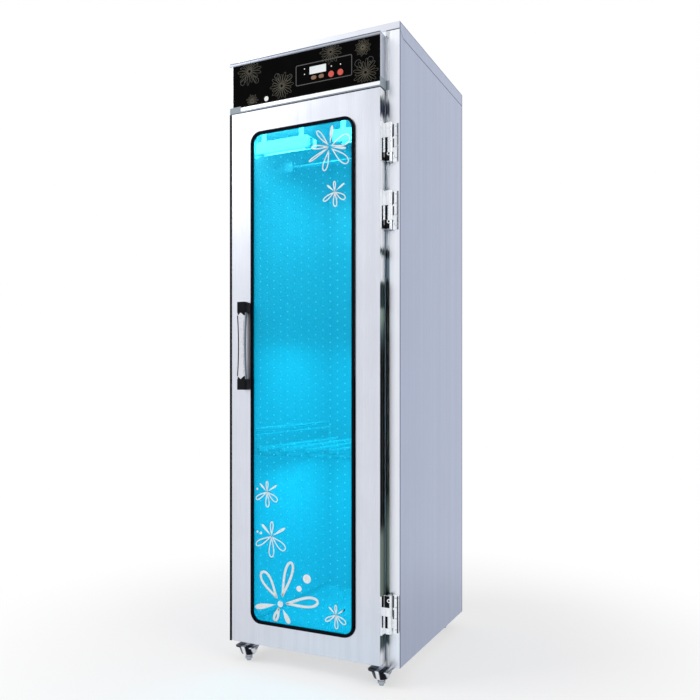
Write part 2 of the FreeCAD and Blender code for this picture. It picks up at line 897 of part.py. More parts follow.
def guard_hoop(label, x, ys, low, high):
    """Bent round bar that rises from the front rail, runs back and drops to the rear rail."""
    bend = D.guard_bend
    piece = Piece(label)
    path = piece.sketch("YZ", x)
    y0, y1 = ys
    corners = [((y0, low), (y0, high - bend)), ((y0 + bend, high), (y1 - bend, high)),
               ((y1, high - bend), (y1, low))]
    for start, end in corners:
        path.addGeometry(Part.LineSegment(flat(*start), flat(*end)), False)
    for number, (start, end) in enumerate(corners):
        bind_point(path, number, 1, *start)
        bind_point(path, number, 2, *end)
    centres = [(flat(y0 + bend, high - bend), 90), (flat(y1 - bend, high - bend), 0)]
    for number, (centre, angle) in enumerate(centres):
        ring = Part.Circle(centre, Vector(0, 0, 1), bend.value)
        sweep = (math.radians(angle), math.radians(angle + 90))
        path.addGeometry(Part.ArcOfCircle(ring, *sweep), False)
        arc = 3 + number
        path.addConstraint(Sketcher.Constraint("Coincident", arc, 2, number, 2))
        path.addConstraint(Sketcher.Constraint("Coincident", arc, 1, number + 1, 1))
        index = path.addConstraint(Sketcher.Constraint("Radius", arc, bend.value))
        path.setExpression(f"Constraints[{index}]", bend.text)
    section = piece.sketch("XY", low, circle(x, y0, D.guard_radius))
    pipe = piece.feature("AdditivePipe", section)
    pipe.Spine = (path, [f"Edge{number}" for number in range(1, 6)])
    path.Visibility = False
    return piece.body


def lamp_units():
    """Two germicidal lamps side by side, each under a white folded hood hung from the ceiling."""
    y0 = front + D.hood_setback
    y1 = y0 + D.hood_depth
    high = ceiling - D.hood_drop
    thick = D.hood_sheet
    lamp_y = (y0 + y1) / 2
    lamp_z = high - D.lamp_drop
    hoods, sockets, lamps = [], [], []
    for side, name in ((-1, "left"), (1, "right")):
        ends = (side * D.hood_inner, side * (liner_face - D.hood_side_gap))
        xs = ends if side > 0 else ends[::-1]
        hood = Piece(f"lamp_hood_{name}")
        hood.pad("YZ", xs, polygon(
            (y0, high - D.hood_lip), (y0, high), (y1, high), (y1, high - D.hood_rear_lip),
            (y1 - thick, high - D.hood_rear_lip), (y1 - thick, high - thick),
            (y0 + thick, high - thick), (y0 + thick, high - D.hood_lip)))
        for inset in (D.socket_length, xs[1] - xs[0] - D.socket_length - D.hood_strap):
            left = xs[0] + inset
            hood.pad("XY", (high - thick, ceiling), rectangle(
                (left, left + D.hood_strap), (lamp_y - D.hood_strap, lamp_y - D.hood_strap + thick)))
        hoods.append(hood.body)
        wide = D.socket_width / 2
        for number, left in enumerate((xs[0], xs[1] - D.socket_length)):
            sockets.append(lamp_socket(f"lamp_socket_{name}_{number}", (left, left + D.socket_length),
                                       (lamp_y - wide, lamp_y + wide), lamp_y, lamp_z, high - thick,
                                       number))
        lamps.append(lamp_tube(f"lamp_tube_{name}", xs, lamp_y, lamp_z))
    sub_part(group("lamp_hoods", *hoods), "lamp_hoods")
    sub_part(group("lamp_sockets", *sockets), "lamp_sockets")
    sub_part(group("uv_lamp_tubes", *lamps), "uv_lamp_tubes")


def lamp_socket(label, xs, ys, lamp_y, lamp_z, high, number):
    """Lamp holder with a round recess that takes the end of the tube."""
    piece = Piece(label)
    radius = (ys[1] - ys[0]) / 2
    piece.pad("YZ", xs, polygon((ys[0], lamp_z), (ys[1], lamp_z), (ys[1], high), (ys[0], high)))
    piece.pad("YZ", xs, circle(lamp_y, lamp_z, radius))
    depth = D.socket_length / 2
    recess = (xs[0] + depth, xs[1] + OVER) if number == 0 else (xs[0] - OVER, xs[1] - depth)
    piece.pocket("YZ", recess, circle(lamp_y, lamp_z, D.lamp_radius + D.lamp_clearance))
    return piece.body


def lamp_tube(label, xs, y, z):
    """Glass tube with a metal base at each end."""
    inset = D.socket_length / 2 + D.lamp_clearance
    start, end = xs[0] + inset, xs[1] - inset
    glass = cylinder(f"{label}_glass", "X", (start + D.lamp_base, y, z),
                     end - start - 2 * D.lamp_base, D.lamp_radius - D.lamp_clearance)
    caps = [cylinder(f"{label}_base_{number}", "X", (left, y, z), D.lamp_base, D.lamp_radius)
            for number, left in enumerate((start, end - D.lamp_base))]
    return fuse(label, glass, *caps)


def temperature_probe():
    """Sensor pocket through the right liner with its hexagon nut."""
    y = front + D.probe_setback
    z = ceiling - D.probe_drop
    stem = cylinder("probe_stem", "X", (liner_face - D.probe_length, y, z), D.probe_length, D.probe_radius)
    nut = doc.addObject("Part::Prism", "probe_nut_blank")
    nut.Polygon = 6
    bind(nut, "Circumradius", D.probe_nut)
    bind(nut, "Height", D.probe_nut / 2)
    place(nut, liner_face - D.probe_nut / 2, y, z, TURNS["X"])
    return sub_part(fuse("temperature_probe", stem, nut), "temperature_probe")


# ---------------------------------------------------------------- warm-air unit

fan_y = front + D.fan_setback
fan_z = (ceiling_top + D.duct_height, ceiling_top + D.duct_height + D.fan_thickness)


def air_duct():
    """Square duct between the ceiling and the fan, with a foot flange all round."""
    wide = D.fan_size / 2
    piece = Piece("air_duct")
    xs, ys = (-wide, wide), (fan_y - wide, fan_y + wide)
    inner = (grown(xs, -D.duct_sheet), grown(ys, -D.duct_sheet))
    piece.pad("XY", (ceiling_top, fan_z[0]), rectangle(xs, ys), rectangle(*inner))
    piece.pad("XY", (ceiling_top, ceiling_top + D.duct_sheet),
              rectangle(grown(xs, D.duct_flange), grown(ys, D.duct_flange)), rectangle(*inner))
    for x in heater_tails():
        piece.pocket("XZ", (fan_y - wide - OVER, fan_y - wide + D.duct_sheet + OVER),
                     circle(x, heater_level(), D.heater_radius + D.lamp_clearance))
    return sub_part(piece, "air_duct")


def heater_level():
    """Height of the heater's centre plane, half way up the duct."""
    return ceiling_top + D.duct_height / 2


def heater_tails():
    """Where the two cold ends of the heater pass the duct's front wall."""
    return (-3 * D.heater_bend, 3 * D.heater_bend)


def heater_element():
    """Sheathed heating rod bent into three hairpins, with both ends through the duct wall."""
    piece = Piece("heater_element")
    path = piece.sketch("XY", heater_level())
    bend = D.heater_bend
    near = fan_y - D.heater_span / 2 + bend
    far = fan_y + D.heater_span / 2 - bend
    tail = fan_y - D.fan_size / 2 - D.heater_tail
    legs = [(-3 * bend, tail, far), (-1 * bend, far, near), (1 * bend, near, far), (3 * bend, far, tail)]
    for number, (x, start, end) in enumerate(legs):
        path.addGeometry(Part.LineSegment(flat(x, start), flat(x, end)), False)
        bind_point(path, number, 1, x, start)
        bind_point(path, number, 2, x, end)
    arcs = [(-2 * bend, far, 0), (0 * bend, near, 180), (2 * bend, far, 0)]
    for number, (x, y, angle) in enumerate(arcs):
        ring = Part.Circle(flat(x, y), Vector(0, 0, 1), bend.value)
        sweep = (math.radians(angle), math.radians(angle + 180))
        path.addGeometry(Part.ArcOfCircle(ring, *sweep), False)
        upper = angle == 0
        path.addConstraint(Sketcher.Constraint("Coincident", 4 + number, 2 if upper else 1, number, 2))
        path.addConstraint(
            Sketcher.Constraint("Coincident", 4 + number, 1 if upper else 2, number + 1, 1))
    section = piece.sketch("XZ", tail, circle(-3 * bend, heater_level(), D.heater_radius))
    pipe = piece.feature("AdditivePipe", section)
    pipe.Spine = (path, [f"Edge{number}" for number in range(1, 8)])
    path.Visibility = False
    return sub_part(piece, "heater_element")


def fan_frame():
    """Square fan housing with a round bore, four struts and the bearing base they carry."""
    piece = Piece("fan_frame")
    wide = D.fan_size / 2
    screw = D.fan_screw_pitch / 2
    holes = [circle(x * screw, fan_y + y * screw, D.fan_screw_radius)
             for x in (-1, 1) for y in (-1, 1)]
    piece.pad("XY", fan_z, rounded((-wide, wide), (fan_y - wide, fan_y + wide), D.fan_corner),
              circle(0, fan_y, D.fan_bore), *holes)
    base_span = (fan_z[1] - D.fan_base_thickness, fan_z[1])
    reach = D.fan_bore + D.fan_strut_root
    arm = D.fan_strut / 2
    piece.pad("XY", base_span, rectangle((-reach, reach), (fan_y - arm, fan_y + arm)))
    piece.pad("XY", base_span, rectangle((-arm, arm), (fan_y - reach, fan_y + reach)))
    piece.pad("XY", base_span, circle(0, fan_y, D.fan_base_radius))
    bore = D.shaft_radius + D.shaft_clearance
    piece.pad("XY", (fan_z[1] - D.shaft_length, fan_z[1]), circle(0, fan_y, bore * 2))
    piece.pocket("XY", (fan_z[1] - D.shaft_length - OVER, fan_z[1] - D.sheet), circle(0, fan_y, bore))
    return sub_part(piece, "fan_frame")


def blade_section(radius, chord, pitch):
    """Thin cambered blade profile at one radius, turned to its pitch."""
    thick = D.blade_thickness.value / 2
    reach = chord / 2
    camber = chord * 0.12
    outline = [(-reach, 0), (0, camber + thick), (reach, 0), (0, camber - thick)]
    angle = math.radians(pitch)
    turned = [Vector(radius, u * math.cos(angle) - v * math.sin(angle),
                     u * math.sin(angle) + v * math.cos(angle)) for u, v in outline]
    upper = Part.Arc(turned[0], turned[1], turned[2]).toShape()
    lower = Part.Arc(turned[2], turned[3], turned[0]).toShape()
    return Part.Wire([upper, lower])


def fan_impeller():
    """Hub cup on a short shaft with twisted blades, clear of the bore."""
    tip = D.fan_bore.value - D.blade_tip_gap.value
    hub = D.hub_radius.value
    low = fan_z[0].value + 2 * D.sheet.value
    high = fan_z[1].value - D.fan_base_thickness.value - D.sheet.value
    bearing = 2 * (D.shaft_radius.value + D.shaft_clearance.value) + OVER
    body = Part.makeCylinder(hub, high - low, Vector(0, 0, low))
    cup = Part.makeCylinder(hub - 2 * D.sheet.value, high - low, Vector(0, 0, low + 2 * D.sheet.value))
    shaft = Part.makeCylinder(D.shaft_radius.value, fan_z[1].value - 2 * D.sheet.value - low,
                              Vector(0, 0, low))
    boss = Part.makeCylinder(bearing, D.sheet.value * 2, Vector(0, 0, low))
    sections = []
    for share in (0.0, 0.5, 1.0):
        radius = hub - OVER + share * (tip - hub + OVER)
        chord = D.blade_root_chord.value + share * (D.blade_tip_chord.value - D.blade_root_chord.value)
        pitch = D.blade_root_pitch.value + share * (D.blade_tip_pitch.value - D.blade_root_pitch.value)
        sections.append(blade_section(radius, chord, pitch))
    blade = Part.makeLoft(sections, True, False)
    blade.translate(Vector(0, 0, (low + high) / 2))
    count = int(D.blade_count.value)
    rotor = body.cut(cup).fuse([shaft, boss])
    turned = []
    for number in range(count):
        copy = blade.copy()
        copy.rotate(Vector(), Vector(0, 0, 1), 360 * number / count)
        turned.append(copy)
    bounds = Part.makeCylinder(tip, high - low, Vector(0, 0, low))
    core = Part.makeCylinder(hub - OVER / 2, high - low, Vector(0, 0, low))
    blades = [item.common(bounds).cut(core) for item in turned]
    rotor = rotor.fuse(blades)
    thing = doc.addObject("Part::Feature", "fan_impeller")
    thing.Shape = rotor
    place(thing, 0, fan_y, 0)
    return sub_part(thing, "fan_impeller")


def fan_guard():
    """Round ceiling grille of concentric rings on two cross bars."""
    piece = Piece("fan_guard")
    zs = (ceiling - D.guard_thickness, ceiling)
    count = int(D.guard_ring_count.value)
    for number in range(count):
        outer = D.guard_ring_radius - number * D.guard_ring_pitch
        width = D.guard_ring_width * (2 if number == 0 else 1)
        piece.pad("XY", zs, circle(0, fan_y, outer), circle(0, fan_y, outer - width))
        if number == 0:
            reach = outer - width / 2
            arm = D.guard_ring_width / 2
            piece.pad("XY", zs, rectangle((-reach, reach), (fan_y - arm, fan_y + arm)))
            piece.pad("XY", zs, rectangle((-arm, arm), (fan_y - reach, fan_y + reach)))
    return sub_part(piece, "fan_guard")


def inner_boxes():
    """Lamp ballast and power supply, screwed to the top of the chamber ceiling."""
    y0 = front + D.inner_box_setback
    centre = D.inner_box_inset - liner_face
    wide = D.ballast_width / 2
    ballast = Piece("lamp_ballast")
    ys = (y0, y0 + D.ballast_length)
    ballast.pad("XY", (ceiling_top, ceiling_top + D.ballast_height),
                rectangle((centre - wide, centre + wide), ys))
    ballast.pad("XY", (ceiling_top, ceiling_top + D.sheet),
                rectangle((centre - wide, centre + wide), grown(ys, D.ballast_foot)))
    sub_part(ballast, "lamp_ballast")

    supply = Piece("power_supply")
    wide = D.supply_width / 2
    centre = liner_face - D.inner_box_inset
    ys = (y0, y0 + D.supply_length)
    xs = (centre - wide, centre + wide)
    supply.pad("XY", (ceiling_top, ceiling_top + D.supply_height), rectangle(xs, ys))
    supply.pocket("XY", (ceiling_top + D.supply_height / 2, ceiling_top + D.supply_height + OVER),
                  rectangle(grown(xs, OVER), (ys[1] - D.ballast_foot, ys[1] + OVER)))
    sub_part(supply, "power_supply")


# ---------------------------------------------------------------- control housing

def control_holes(clearance):
    """Outlines of the buttons, display and lamps, each grown by a clearance."""
    low = overlay_z[0]
    height = low + D.button_height
    drawn = [circle(x, height, D.round_button_radius + clearance)
             for x in (D.round_button_one, D.round_button_two)]
    for x in (D.oval_button_one, D.oval_button_two):
        across = grown((x - D.oval_button_width / 2, x + D.oval_button_width / 2), clearance)
        up = grown((height - D.oval_button_height / 2, height + D.oval_button_height / 2), clearance)
        drawn.append(rounded(across, up, D.oval_button_radius + clearance))
    across = grown((D.display_left, D.display_left + D.display_width), clearance)
    up = grown((low + D.display_low, low + D.display_low + D.display_height), clearance)
    drawn.append(rounded(across, up, D.display_corner + clearance))
    return drawn


def lamp_places():
    """Centre and radius of each small indicator and of the pilot lamp."""
    low = overlay_z[0]
    places = [(D.led_left, low + D.led_low, D.led_radius), (D.led_left, low + D.led_high, D.led_radius)]
    for x in (D.round_button_one, D.round_button_two):
        places.append((x, low + D.led_pair_height, D.led_radius))
    places.append((D.pilot_left, low + D.pilot_height, D.pilot_radius))
    return places


def control_housing():
    """Folded box over the doorway, open at the rear, with a raised cheek at its left."""
    piece = Piece("control_housing")
    xs, ys = (-half, door_x[1]), (housing_front, front)
    piece.pad("XY", panel_z, rectangle(xs, ys))
    piece.pocket("XZ", (housing_front + D.sheet, front + OVER),
                 rectangle(grown(xs, -D.sheet), grown(panel_z, -D.sheet)))
    flange_clearance = D.button_flange + D.button_clearance * 2
    wall = (housing_front - OVER, housing_front + D.sheet + OVER)
    piece.pocket("XZ", wall, *control_holes(flange_clearance))
    lamps = [circle(x, z, radius + D.lens_clearance) for x, z, radius in lamp_places()]
    piece.pocket("XZ", wall, *lamps)
    piece.pad("XZ", (door_front, housing_front), rectangle((-half, overlay_x[0]), overlay_z))
    return sub_part(piece, "control_housing")


def control_overlay():
    """Glossy black front plate with openings for the controls."""
    piece = Piece("control_overlay")
    lamps = [circle(x, z, radius + D.lens_clearance) for x, z, radius in lamp_places()]
    piece.pad("XZ", (door_front, housing_front), rectangle(overlay_x, overlay_z),
              *control_holes(D.button_clearance), *lamps)
    return sub_part(piece, "control_overlay")


def panel_trims():
    """Bright strips above and below the black plate, and grey caps at the lower strip's ends."""
    xs = (-half, door_x[1])
    upper = Piece("panel_trim_top")
    upper.pad("XY", (overlay_z[1], panel_z[1]), rectangle(xs, (door_front, housing_front)))

    lower = Piece("panel_trim_bottom")
    lower.pad("XY", (panel_z[0], overlay_z[0]),
              rectangle((D.end_cap_length - half, door_x[1]), (door_front, housing_front)))
    sub_part(group("panel_trims", upper.body, lower.body), "panel_trims")

    left = block("end_cap_left", (-half, D.end_cap_length - half), (door_front, housing_front),
                 (panel_z[0], overlay_z[0]))
    right = block("end_cap_right", (door_x[1], door_x[1] + D.end_cap_wall), (door_front, front),
                  (panel_z[0], panel_z[0] + D.end_cap_height))
    sub_part(group("panel_end_caps", left, right), "panel_end_caps")


def lenses():
    """Display window, and the small indicator lenses with the pilot lamp."""
    low = overlay_z[0]
    clearance = D.button_clearance - D.lens_clearance
    piece = Piece("display_window")
    across = grown((D.display_left, D.display_left + D.display_width), clearance)
    up = grown((low + D.display_low, low + D.display_low + D.display_height), clearance)
    piece.pad("XZ", (door_front, housing_front), rounded(across, up, D.display_corner + clearance))
    sub_part(piece, "display_window")
    drawn = [cylinder(f"indicator_{number}", "Y", (x, door_front, z), D.overlay_thickness + D.sheet, radius)
             for number, (x, z, radius) in enumerate(lamp_places())]
    sub_part(group("indicator_lenses", *drawn), "indicator_lenses")


button_front = door_front - D.button_proud
flange_front = housing_front + D.button_clearance
button_back = flange_front + D.button_flange_thickness


def push_buttons():
    """Two round and two oval caps, each kept behind the plate by a flange."""
    z = overlay_z[0] + D.button_height
    for name, x in (("one", D.round_button_one), ("two", D.round_button_two)):
        piece = Piece(f"button_round_{name}")
        piece.pad("XZ", (button_front, button_back), circle(x, z, D.round_button_radius))
        piece.pad("XZ", (flange_front, button_back), circle(x, z, D.round_button_radius + D.button_flange))
        sub_part(piece, f"button_round_{name}")
    for name, x in (("one", D.oval_button_one), ("two", D.oval_button_two)):
        piece = Piece(f"button_oval_{name}")
        across = (x - D.oval_button_width / 2, x + D.oval_button_width / 2)
        up = (z - D.oval_button_height / 2, z + D.oval_button_height / 2)
        corner = D.oval_button_radius
        piece.pad("XZ", (button_front, button_back), rounded(across, up, corner))
        piece.pad("XZ", (flange_front, button_back), rounded(
            grown(across, D.button_flange), grown(up, D.button_flange), corner + D.button_flange))
        sub_part(piece, f"button_oval_{name}")


def control_board():
    """Circuit board on four posts behind the plate, with a switch behind each button."""
    y = door_front + D.board_setback
    z0 = overlay_z[0] + D.board_low
    xs = (D.board_left, D.board_left + D.board_width)
    zs = (z0, z0 + D.board_height)
    pieces = [block("board_sheet", xs, (y, y + D.board_thickness), zs)]
    inset = D.spacer_post_radius + D.board_edge
    start = housing_front + D.sheet
    for column, x in enumerate((xs[0] + inset, xs[1] - inset)):
        for line, z in enumerate((zs[0] + inset, zs[1] - inset)):
            pieces.append(cylinder(f"board_post_{column}{line}", "Y", (x, start, z),
                                   y - start + D.board_thickness / 2, D.spacer_post_radius))
    half_switch = D.switch_size / 2
    height = overlay_z[0] + D.button_height
    nearest = button_back + D.button_travel + D.button_clearance
    centres = (D.round_button_one, D.round_button_two, D.oval_button_one, D.oval_button_two)
    for number, x in enumerate(centres):
        pieces.append(block(f"board_switch_{number}", (x - half_switch, x + half_switch),
                            (nearest, y + D.board_thickness / 2),
                            (height - half_switch, height + half_switch)))
    relay = D.switch_size * 3
    for number, x in enumerate((xs[0] + relay / 2, xs[1] - relay * 1.5)):
        pieces.append(block(f"board_relay_{number}", (x, x + relay), (y, y + relay),
                            (zs[0] + relay, zs[0] + relay * 2)))
    return sub_part(fuse("control_board", *pieces), "control_board")


def door_switch():
    """Reed switch behind the front sheet, opposite the magnet in the door."""
    x = doorway_x[0] + D.switch_body_length
    z = doorway_z[1] + D.switch_body_height
    xs = (x, x + D.switch_body_length)
    reed = block("door_switch", xs, (front + D.sheet, front + D.sheet + D.switch_body_depth),
                 (z, z + D.switch_body_height))
    sub_part(reed, "door_switch")
    inset = (D.switch_body_length - D.magnet_length) / 2
    magnet = block("door_magnet", grown(xs, -inset),
                   (door_back - D.sheet - D.magnet_thickness, door_back - D.sheet),
                   (z, z + D.switch_body_height))
    sub_part(magnet, "door_magnet")


# ---------------------------------------------------------------- door

def door_pans():
    """Folded outer pan with the window cut-out, and the inner pan that closes its back."""
    xs = (door_x[0] + D.strip_wall, door_x[1])
    outer = Piece("door_outer_pan")
    outer.pad("XZ", (door_front, door_back), rectangle(xs, door_z))
    outer.fillet(D.edge_bend, lambda edge: all(
        abs(vertex.Y - door_front.value) < NEAR for vertex in edge.Vertexes))
    outer.pocket("XY", (door_z[0] + D.sheet, door_z[1] - D.sheet), rectangle(
        grown(xs, -D.sheet), (door_front + D.sheet, door_back + OVER)))
    outer.pocket("XZ", (door_front - OVER, door_front + D.sheet + OVER),
                 rounded(window_x, window_z, D.window_radius))
    sub_part(outer, "door_outer_pan")

    inner = Piece("door_inner_pan")
    opening_x = grown(window_x, D.inner_pan_margin)
    opening_z = grown(window_z, D.inner_pan_margin)
    corner = D.window_radius + D.inner_pan_margin
    inner.pad("XZ", (door_back - D.sheet, door_back),
              rectangle(grown(xs, -D.sheet), grown(door_z, -D.sheet)),
              rounded(opening_x, opening_z, corner))
    inner.pad("XZ", (door_front + D.sheet, door_back),
              rounded(grown(opening_x, D.sheet), grown(opening_z, D.sheet), corner + D.sheet),
              rounded(opening_x, opening_z, corner))
    sub_part(inner, "door_inner_pan")


def door_glazing():
    """Glass pane held in the pan's cut-out by a black rubber seal."""
    web = D.seal_web
    glass_x = grown(window_x, -web - D.glass_clearance)
    glass_z = grown(window_z, -web - D.glass_clearance)
    glass_radius = D.window_radius - web - D.glass_clearance
    glass_y = (door_front, door_front + D.glass_thickness)
    pane = Piece("door_glass")
    pane.pad("XZ", glass_y, rounded(glass_x, glass_z, glass_radius))
    sub_part(pane, "door_glass")

    seal = Piece("window_seal")
    lap = D.seal_overlap

    def ring(ys, outward, inward):
        seal.pad("XZ", ys,
                 rounded(grown(window_x, outward), grown(window_z, outward), D.window_radius + outward),
                 rounded(grown(window_x, -inward), grown(window_z, -inward), D.window_radius - inward))

    ring((door_front - D.seal_proud, door_front), lap, lap)
    ring((door_front, glass_y[1]), D.weld_gap * -1, web)
    ring((door_front + D.sheet, glass_y[1]), lap - D.sheet, web)
    ring((glass_y[1], glass_y[1] + D.seal_rear_lip), lap - D.sheet, lap)
    sub_part(seal, "window_seal")


def door_seals():
    """Soft gasket against the front frame, and the black strip on the door's free edge."""
    xs = (D.gasket_left - half, door_x[1] - D.gasket_right)
    zs = (base + D.gasket_bottom, top - D.gasket_head)
    gasket = Piece("door_gasket")
    gasket.pad("XZ", (door_back, front - D.gasket_gap), rounded(xs, zs, D.gasket_radius + D.gasket_width),
               rounded(grown(xs, -D.gasket_width), grown(zs, -D.gasket_width), D.gasket_radius))
    sub_part(gasket, "door_gasket")

    strip = Piece("door_edge_strip")
    wall = D.strip_wall
    left = door_x[0]
    strip.pad("XY", door_z, polygon(
        (left, door_front - wall), (left, door_back), (left + wall, door_back),
        (left + wall, door_front), (left + D.strip_width, door_front),
        (left + D.strip_width, door_front - wall)))
    sub_part(strip, "door_edge_strip")


def handle():
    """Black waisted grip standing on a block at each end, with a bright face set in its front."""
    x = D.handle_inset - half
    z0 = base + D.handle_low
    z1 = z0 + D.handle_length
    tip = door_front - D.handle_reach
    wide = D.handle_width / 2
    root = D.handle_root_width / 2
    bar_y = (tip + D.bar_setback, tip + D.bar_setback + D.bar_depth)

    grip = Piece("handle_mounts")
    sections = []
    for share in (0.02, 0.26, 0.5, 0.74, 0.98):
        width = D.bar_waist_width + (D.bar_end_width - D.bar_waist_width) * (2 * share - 1) ** 2
        xs = (x - width / 2, x + width / 2)
        sections.append(grip.sketch("XY", z0 + share * D.handle_length, rounded(xs, bar_y, D.bar_corner)))
    loft = grip.feature("AdditiveLoft", sections[0])
    loft.Sections = sections[1:]
    for low, high in ((z0, z0 + D.handle_block), (z1 - D.handle_block, z1)):
        grip.pad("XY", (low, high), polygon(
            (x - root, door_front), (x + root, door_front), (x + wide, tip + D.handle_bevel),
            (x + wide - D.handle_bevel, tip), (x - wide + D.handle_bevel, tip),
            (x - wide, tip + D.handle_bevel)))
    sub_part(grip, "handle_mounts")

    face = Piece("handle_grip")
    low, high = z0 + D.handle_block, z1 - D.handle_block
    right = [(0, high)]
    for share in (1.0, 0.75, 0.5, 0.25, 0.0):
        width = D.face_waist_width + (D.face_end_width - D.face_waist_width) * (2 * share - 1) ** 2
        z = low + D.face_point + share * (high - low - 2 * D.face_point)
        right.append((width / 2, z))
    left = [(-1 * across, z) for across, z in reversed(right[1:])]
    outline = [(x + across, z) for across, z in [*right, (0, low), *left]]
    face.pad("XZ", (tip + D.face_setback, bar_y[0]), polygon(*outline))
    sub_part(face, "handle_grip")


# ---------------------------------------------------------------- hinges

def knuckle_span(number, centre):
    """Height span of the frame's knuckle, which sits lower on the bottom hinge."""
    if number == 0:
        return (centre - D.foot_knuckle_low, centre - D.foot_knuckle_high)
    return (centre - D.knuckle_low, centre + D.knuckle_high)


def door_leaf(number, centre, span, knuckle):
    """Leaf on the door's edge: a lug above and one below the frame's knuckle, and a screw boss."""
    piece = Piece(f"door_leaf_{number}")
    side = (door_x[1], door_x[1] + D.leaf_thickness)
    radius = D.knuckle_radius
    piece.pad("XY", span, rectangle(side, (door_front + D.leaf_edge_gap, door_back - D.leaf_edge_gap)))
    lugs = ((span[0], knuckle[0] - D.knuckle_gap), (knuckle[1] + D.knuckle_gap, span[1]))
    for lug in lugs:
        piece.pad("XY", lug, rectangle((side[0], hinge_x), (hinge_y - radius, hinge_y)))
        piece.pad("XY", lug, circle(hinge_x, hinge_y, radius))
    boss = centre + D.foot_boss_rise if number == 0 else centre - D.boss_drop
    piece.pad("XZ", (hinge_y - radius - D.boss_proud, hinge_y), circle(hinge_x, boss, D.boss_radius))
    piece.pocket("XY", grown(span, OVER), circle(hinge_x, hinge_y, D.pin_radius + D.pin_clearance))
    return piece.body


def frame_leaf(number, span, knuckle):
    """Leaf on the front frame with a bevelled outer edge, and the knuckle that holds the pin."""
    piece = Piece(f"frame_leaf_{number}")
    edge = half - D.frame_leaf_inset
    inner = edge - D.frame_leaf_width
    face = front - D.frame_leaf_thickness
    piece.pad("XY", span, polygon((inner, face), (edge - D.frame_leaf_bevel, face),
                                  (edge, front - D.frame_leaf_edge), (edge, front), (inner, front)))
    piece.pad("XY", knuckle, rectangle((hinge_x, inner + D.frame_leaf_edge), (hinge_y, front)))
    piece.pad("XY", knuckle, circle(hinge_x, hinge_y, D.knuckle_radius))
    piece.pocket("XY", grown(knuckle, OVER), circle(hinge_x, hinge_y, D.pin_radius))
    return piece.body


def hinge_pin(number, span):
    """Pin pressed into the frame's knuckle, with a flat head over the door's upper lug."""
    piece = Piece(f"hinge_pin_{number}")
    head = span[1] + D.knuckle_gap
    piece.pad("XY", (span[0], head), circle(hinge_x, hinge_y, D.pin_radius))
    piece.pad("XY", (head, head + D.pin_head_height), circle(hinge_x, hinge_y, D.pin_head_radius))
    return piece.body


def hinges():
    """Three pinned hinges down the door's right edge."""
    leaves, frames, pins = [], [], []
    for number, centre in enumerate(hinge_centres):
        span = grown((centre, centre), D.hinge_length / 2)
        knuckle = knuckle_span(number, centre)
        leaves.append(door_leaf(number, centre, span, knuckle))
        frames.append(frame_leaf(number, span, knuckle))
        pins.append(hinge_pin(number, span))
    sub_part(group("hinge_door_leaves", *leaves), "hinge_door_leaves")
    sub_part(group("hinge_frame_leaves", *frames), "hinge_frame_leaves")
    sub_part(group("hinge_pins", *pins), "hinge_pins")


# ---------------------------------------------------------------- cord gland and feet

def cable_gland():
    """Cord gland: head outside the back panel, threaded body through it and a nut inside."""
    x = D.gland_inset - half
    z = base + D.gland_height
    piece = Piece("cable_gland")
    inner = back - D.sheet
    bore = circle(x, z, D.gland_bore)
    piece.pad("XZ", (back, back + D.gland_reach), circle(x, z, D.gland_head), bore)
    piece.pad("XZ", (inner - D.gland_nut_length, back), circle(x, z, D.gland_body), bore)
    piece.pad("XZ", (inner - D.gland_nut_length, inner), circle(x, z, D.gland_nut), bore)
    return sub_part(piece, "cable_gland")


def foot_places():
    """Name and centre of each foot; the front pair stands out under the door."""
    inset = D.foot_side_inset
    ys = (("front", front - D.foot_front_reach), ("rear", back - D.foot_rear_inset))
    xs = (("left", inset - half), ("right", half - inset))
    return [(f"{depth}_{side}", x, y) for depth, y in ys for side, x in xs]


def foot_sleeve(name, x, y):
    """Bullet-shaped chrome sleeve, turned about its bore, under a flat plate bolted to the base pan."""
    piece = Piece(f"foot_sleeve_{name}")
    bore = D.insert_radius + D.insert_clearance
    height = D.sleeve_height
    shoulder = height - D.sleeve_rim
    deep = D.insert_overlap + OVER
    piece.revolve("XZ", 0, "V_Axis", polygon(
        (0, deep), (bore, deep), (bore, 0), (D.sleeve_low_radius, 0),
        (D.sleeve_top_radius, shoulder), (D.sleeve_top_radius, height), (0, height)))
    low_rim = D.sleeve_low_radius.value
    piece.fillet(D.sleeve_nose, lambda edge: all(
        abs(vertex.Z) < NEAR and abs(math.hypot(vertex.X, vertex.Y) - low_rim) < NEAR
        for vertex in edge.Vertexes))
    wide = D.sleeve_top_radius + D.foot_plate_margin
    tail = D.foot_plate_tail if "front" in name else wide
    piece.pad("XY", (height - D.foot_plate, height),
              rounded((-1 * wide, wide), (-1 * wide, tail), D.sleeve_top_radius / 2))
    return place(piece.body, x, y, base - D.sleeve_height)


def foot_insert(name, x, y):
    """Screw-in foot: tapered tip, wrench collar and the stem that runs in the sleeve."""
    piece = Piece(f"foot_insert_{name}")
    stem = D.insert_radius
    collar = (D.insert_tip, D.insert_tip + D.insert_collar_height)
    high = base - D.sleeve_height + D.insert_overlap
    piece.revolve("XZ", 0, "V_Axis", polygon(
        (0, 0), (D.insert_tip_radius, 0), (stem, collar[0]), (D.insert_collar, collar[0]),
        (D.insert_collar, collar[1]), (stem, collar[1]), (stem, high), (0, high)))
    place(piece.body, x, y, 0)
    return sub_part(piece, f"foot_insert_{name}")


def feet():
    """A sleeve and an adjustable insert at each corner."""
    sleeves = [foot_sleeve(*foot) for foot in foot_places()]
    for foot in foot_places():
        foot_insert(*foot)
    sub_part(group("foot_sleeves", *sleeves), "foot_sleeves")


# ---------------------------------------------------------------- build, check and write

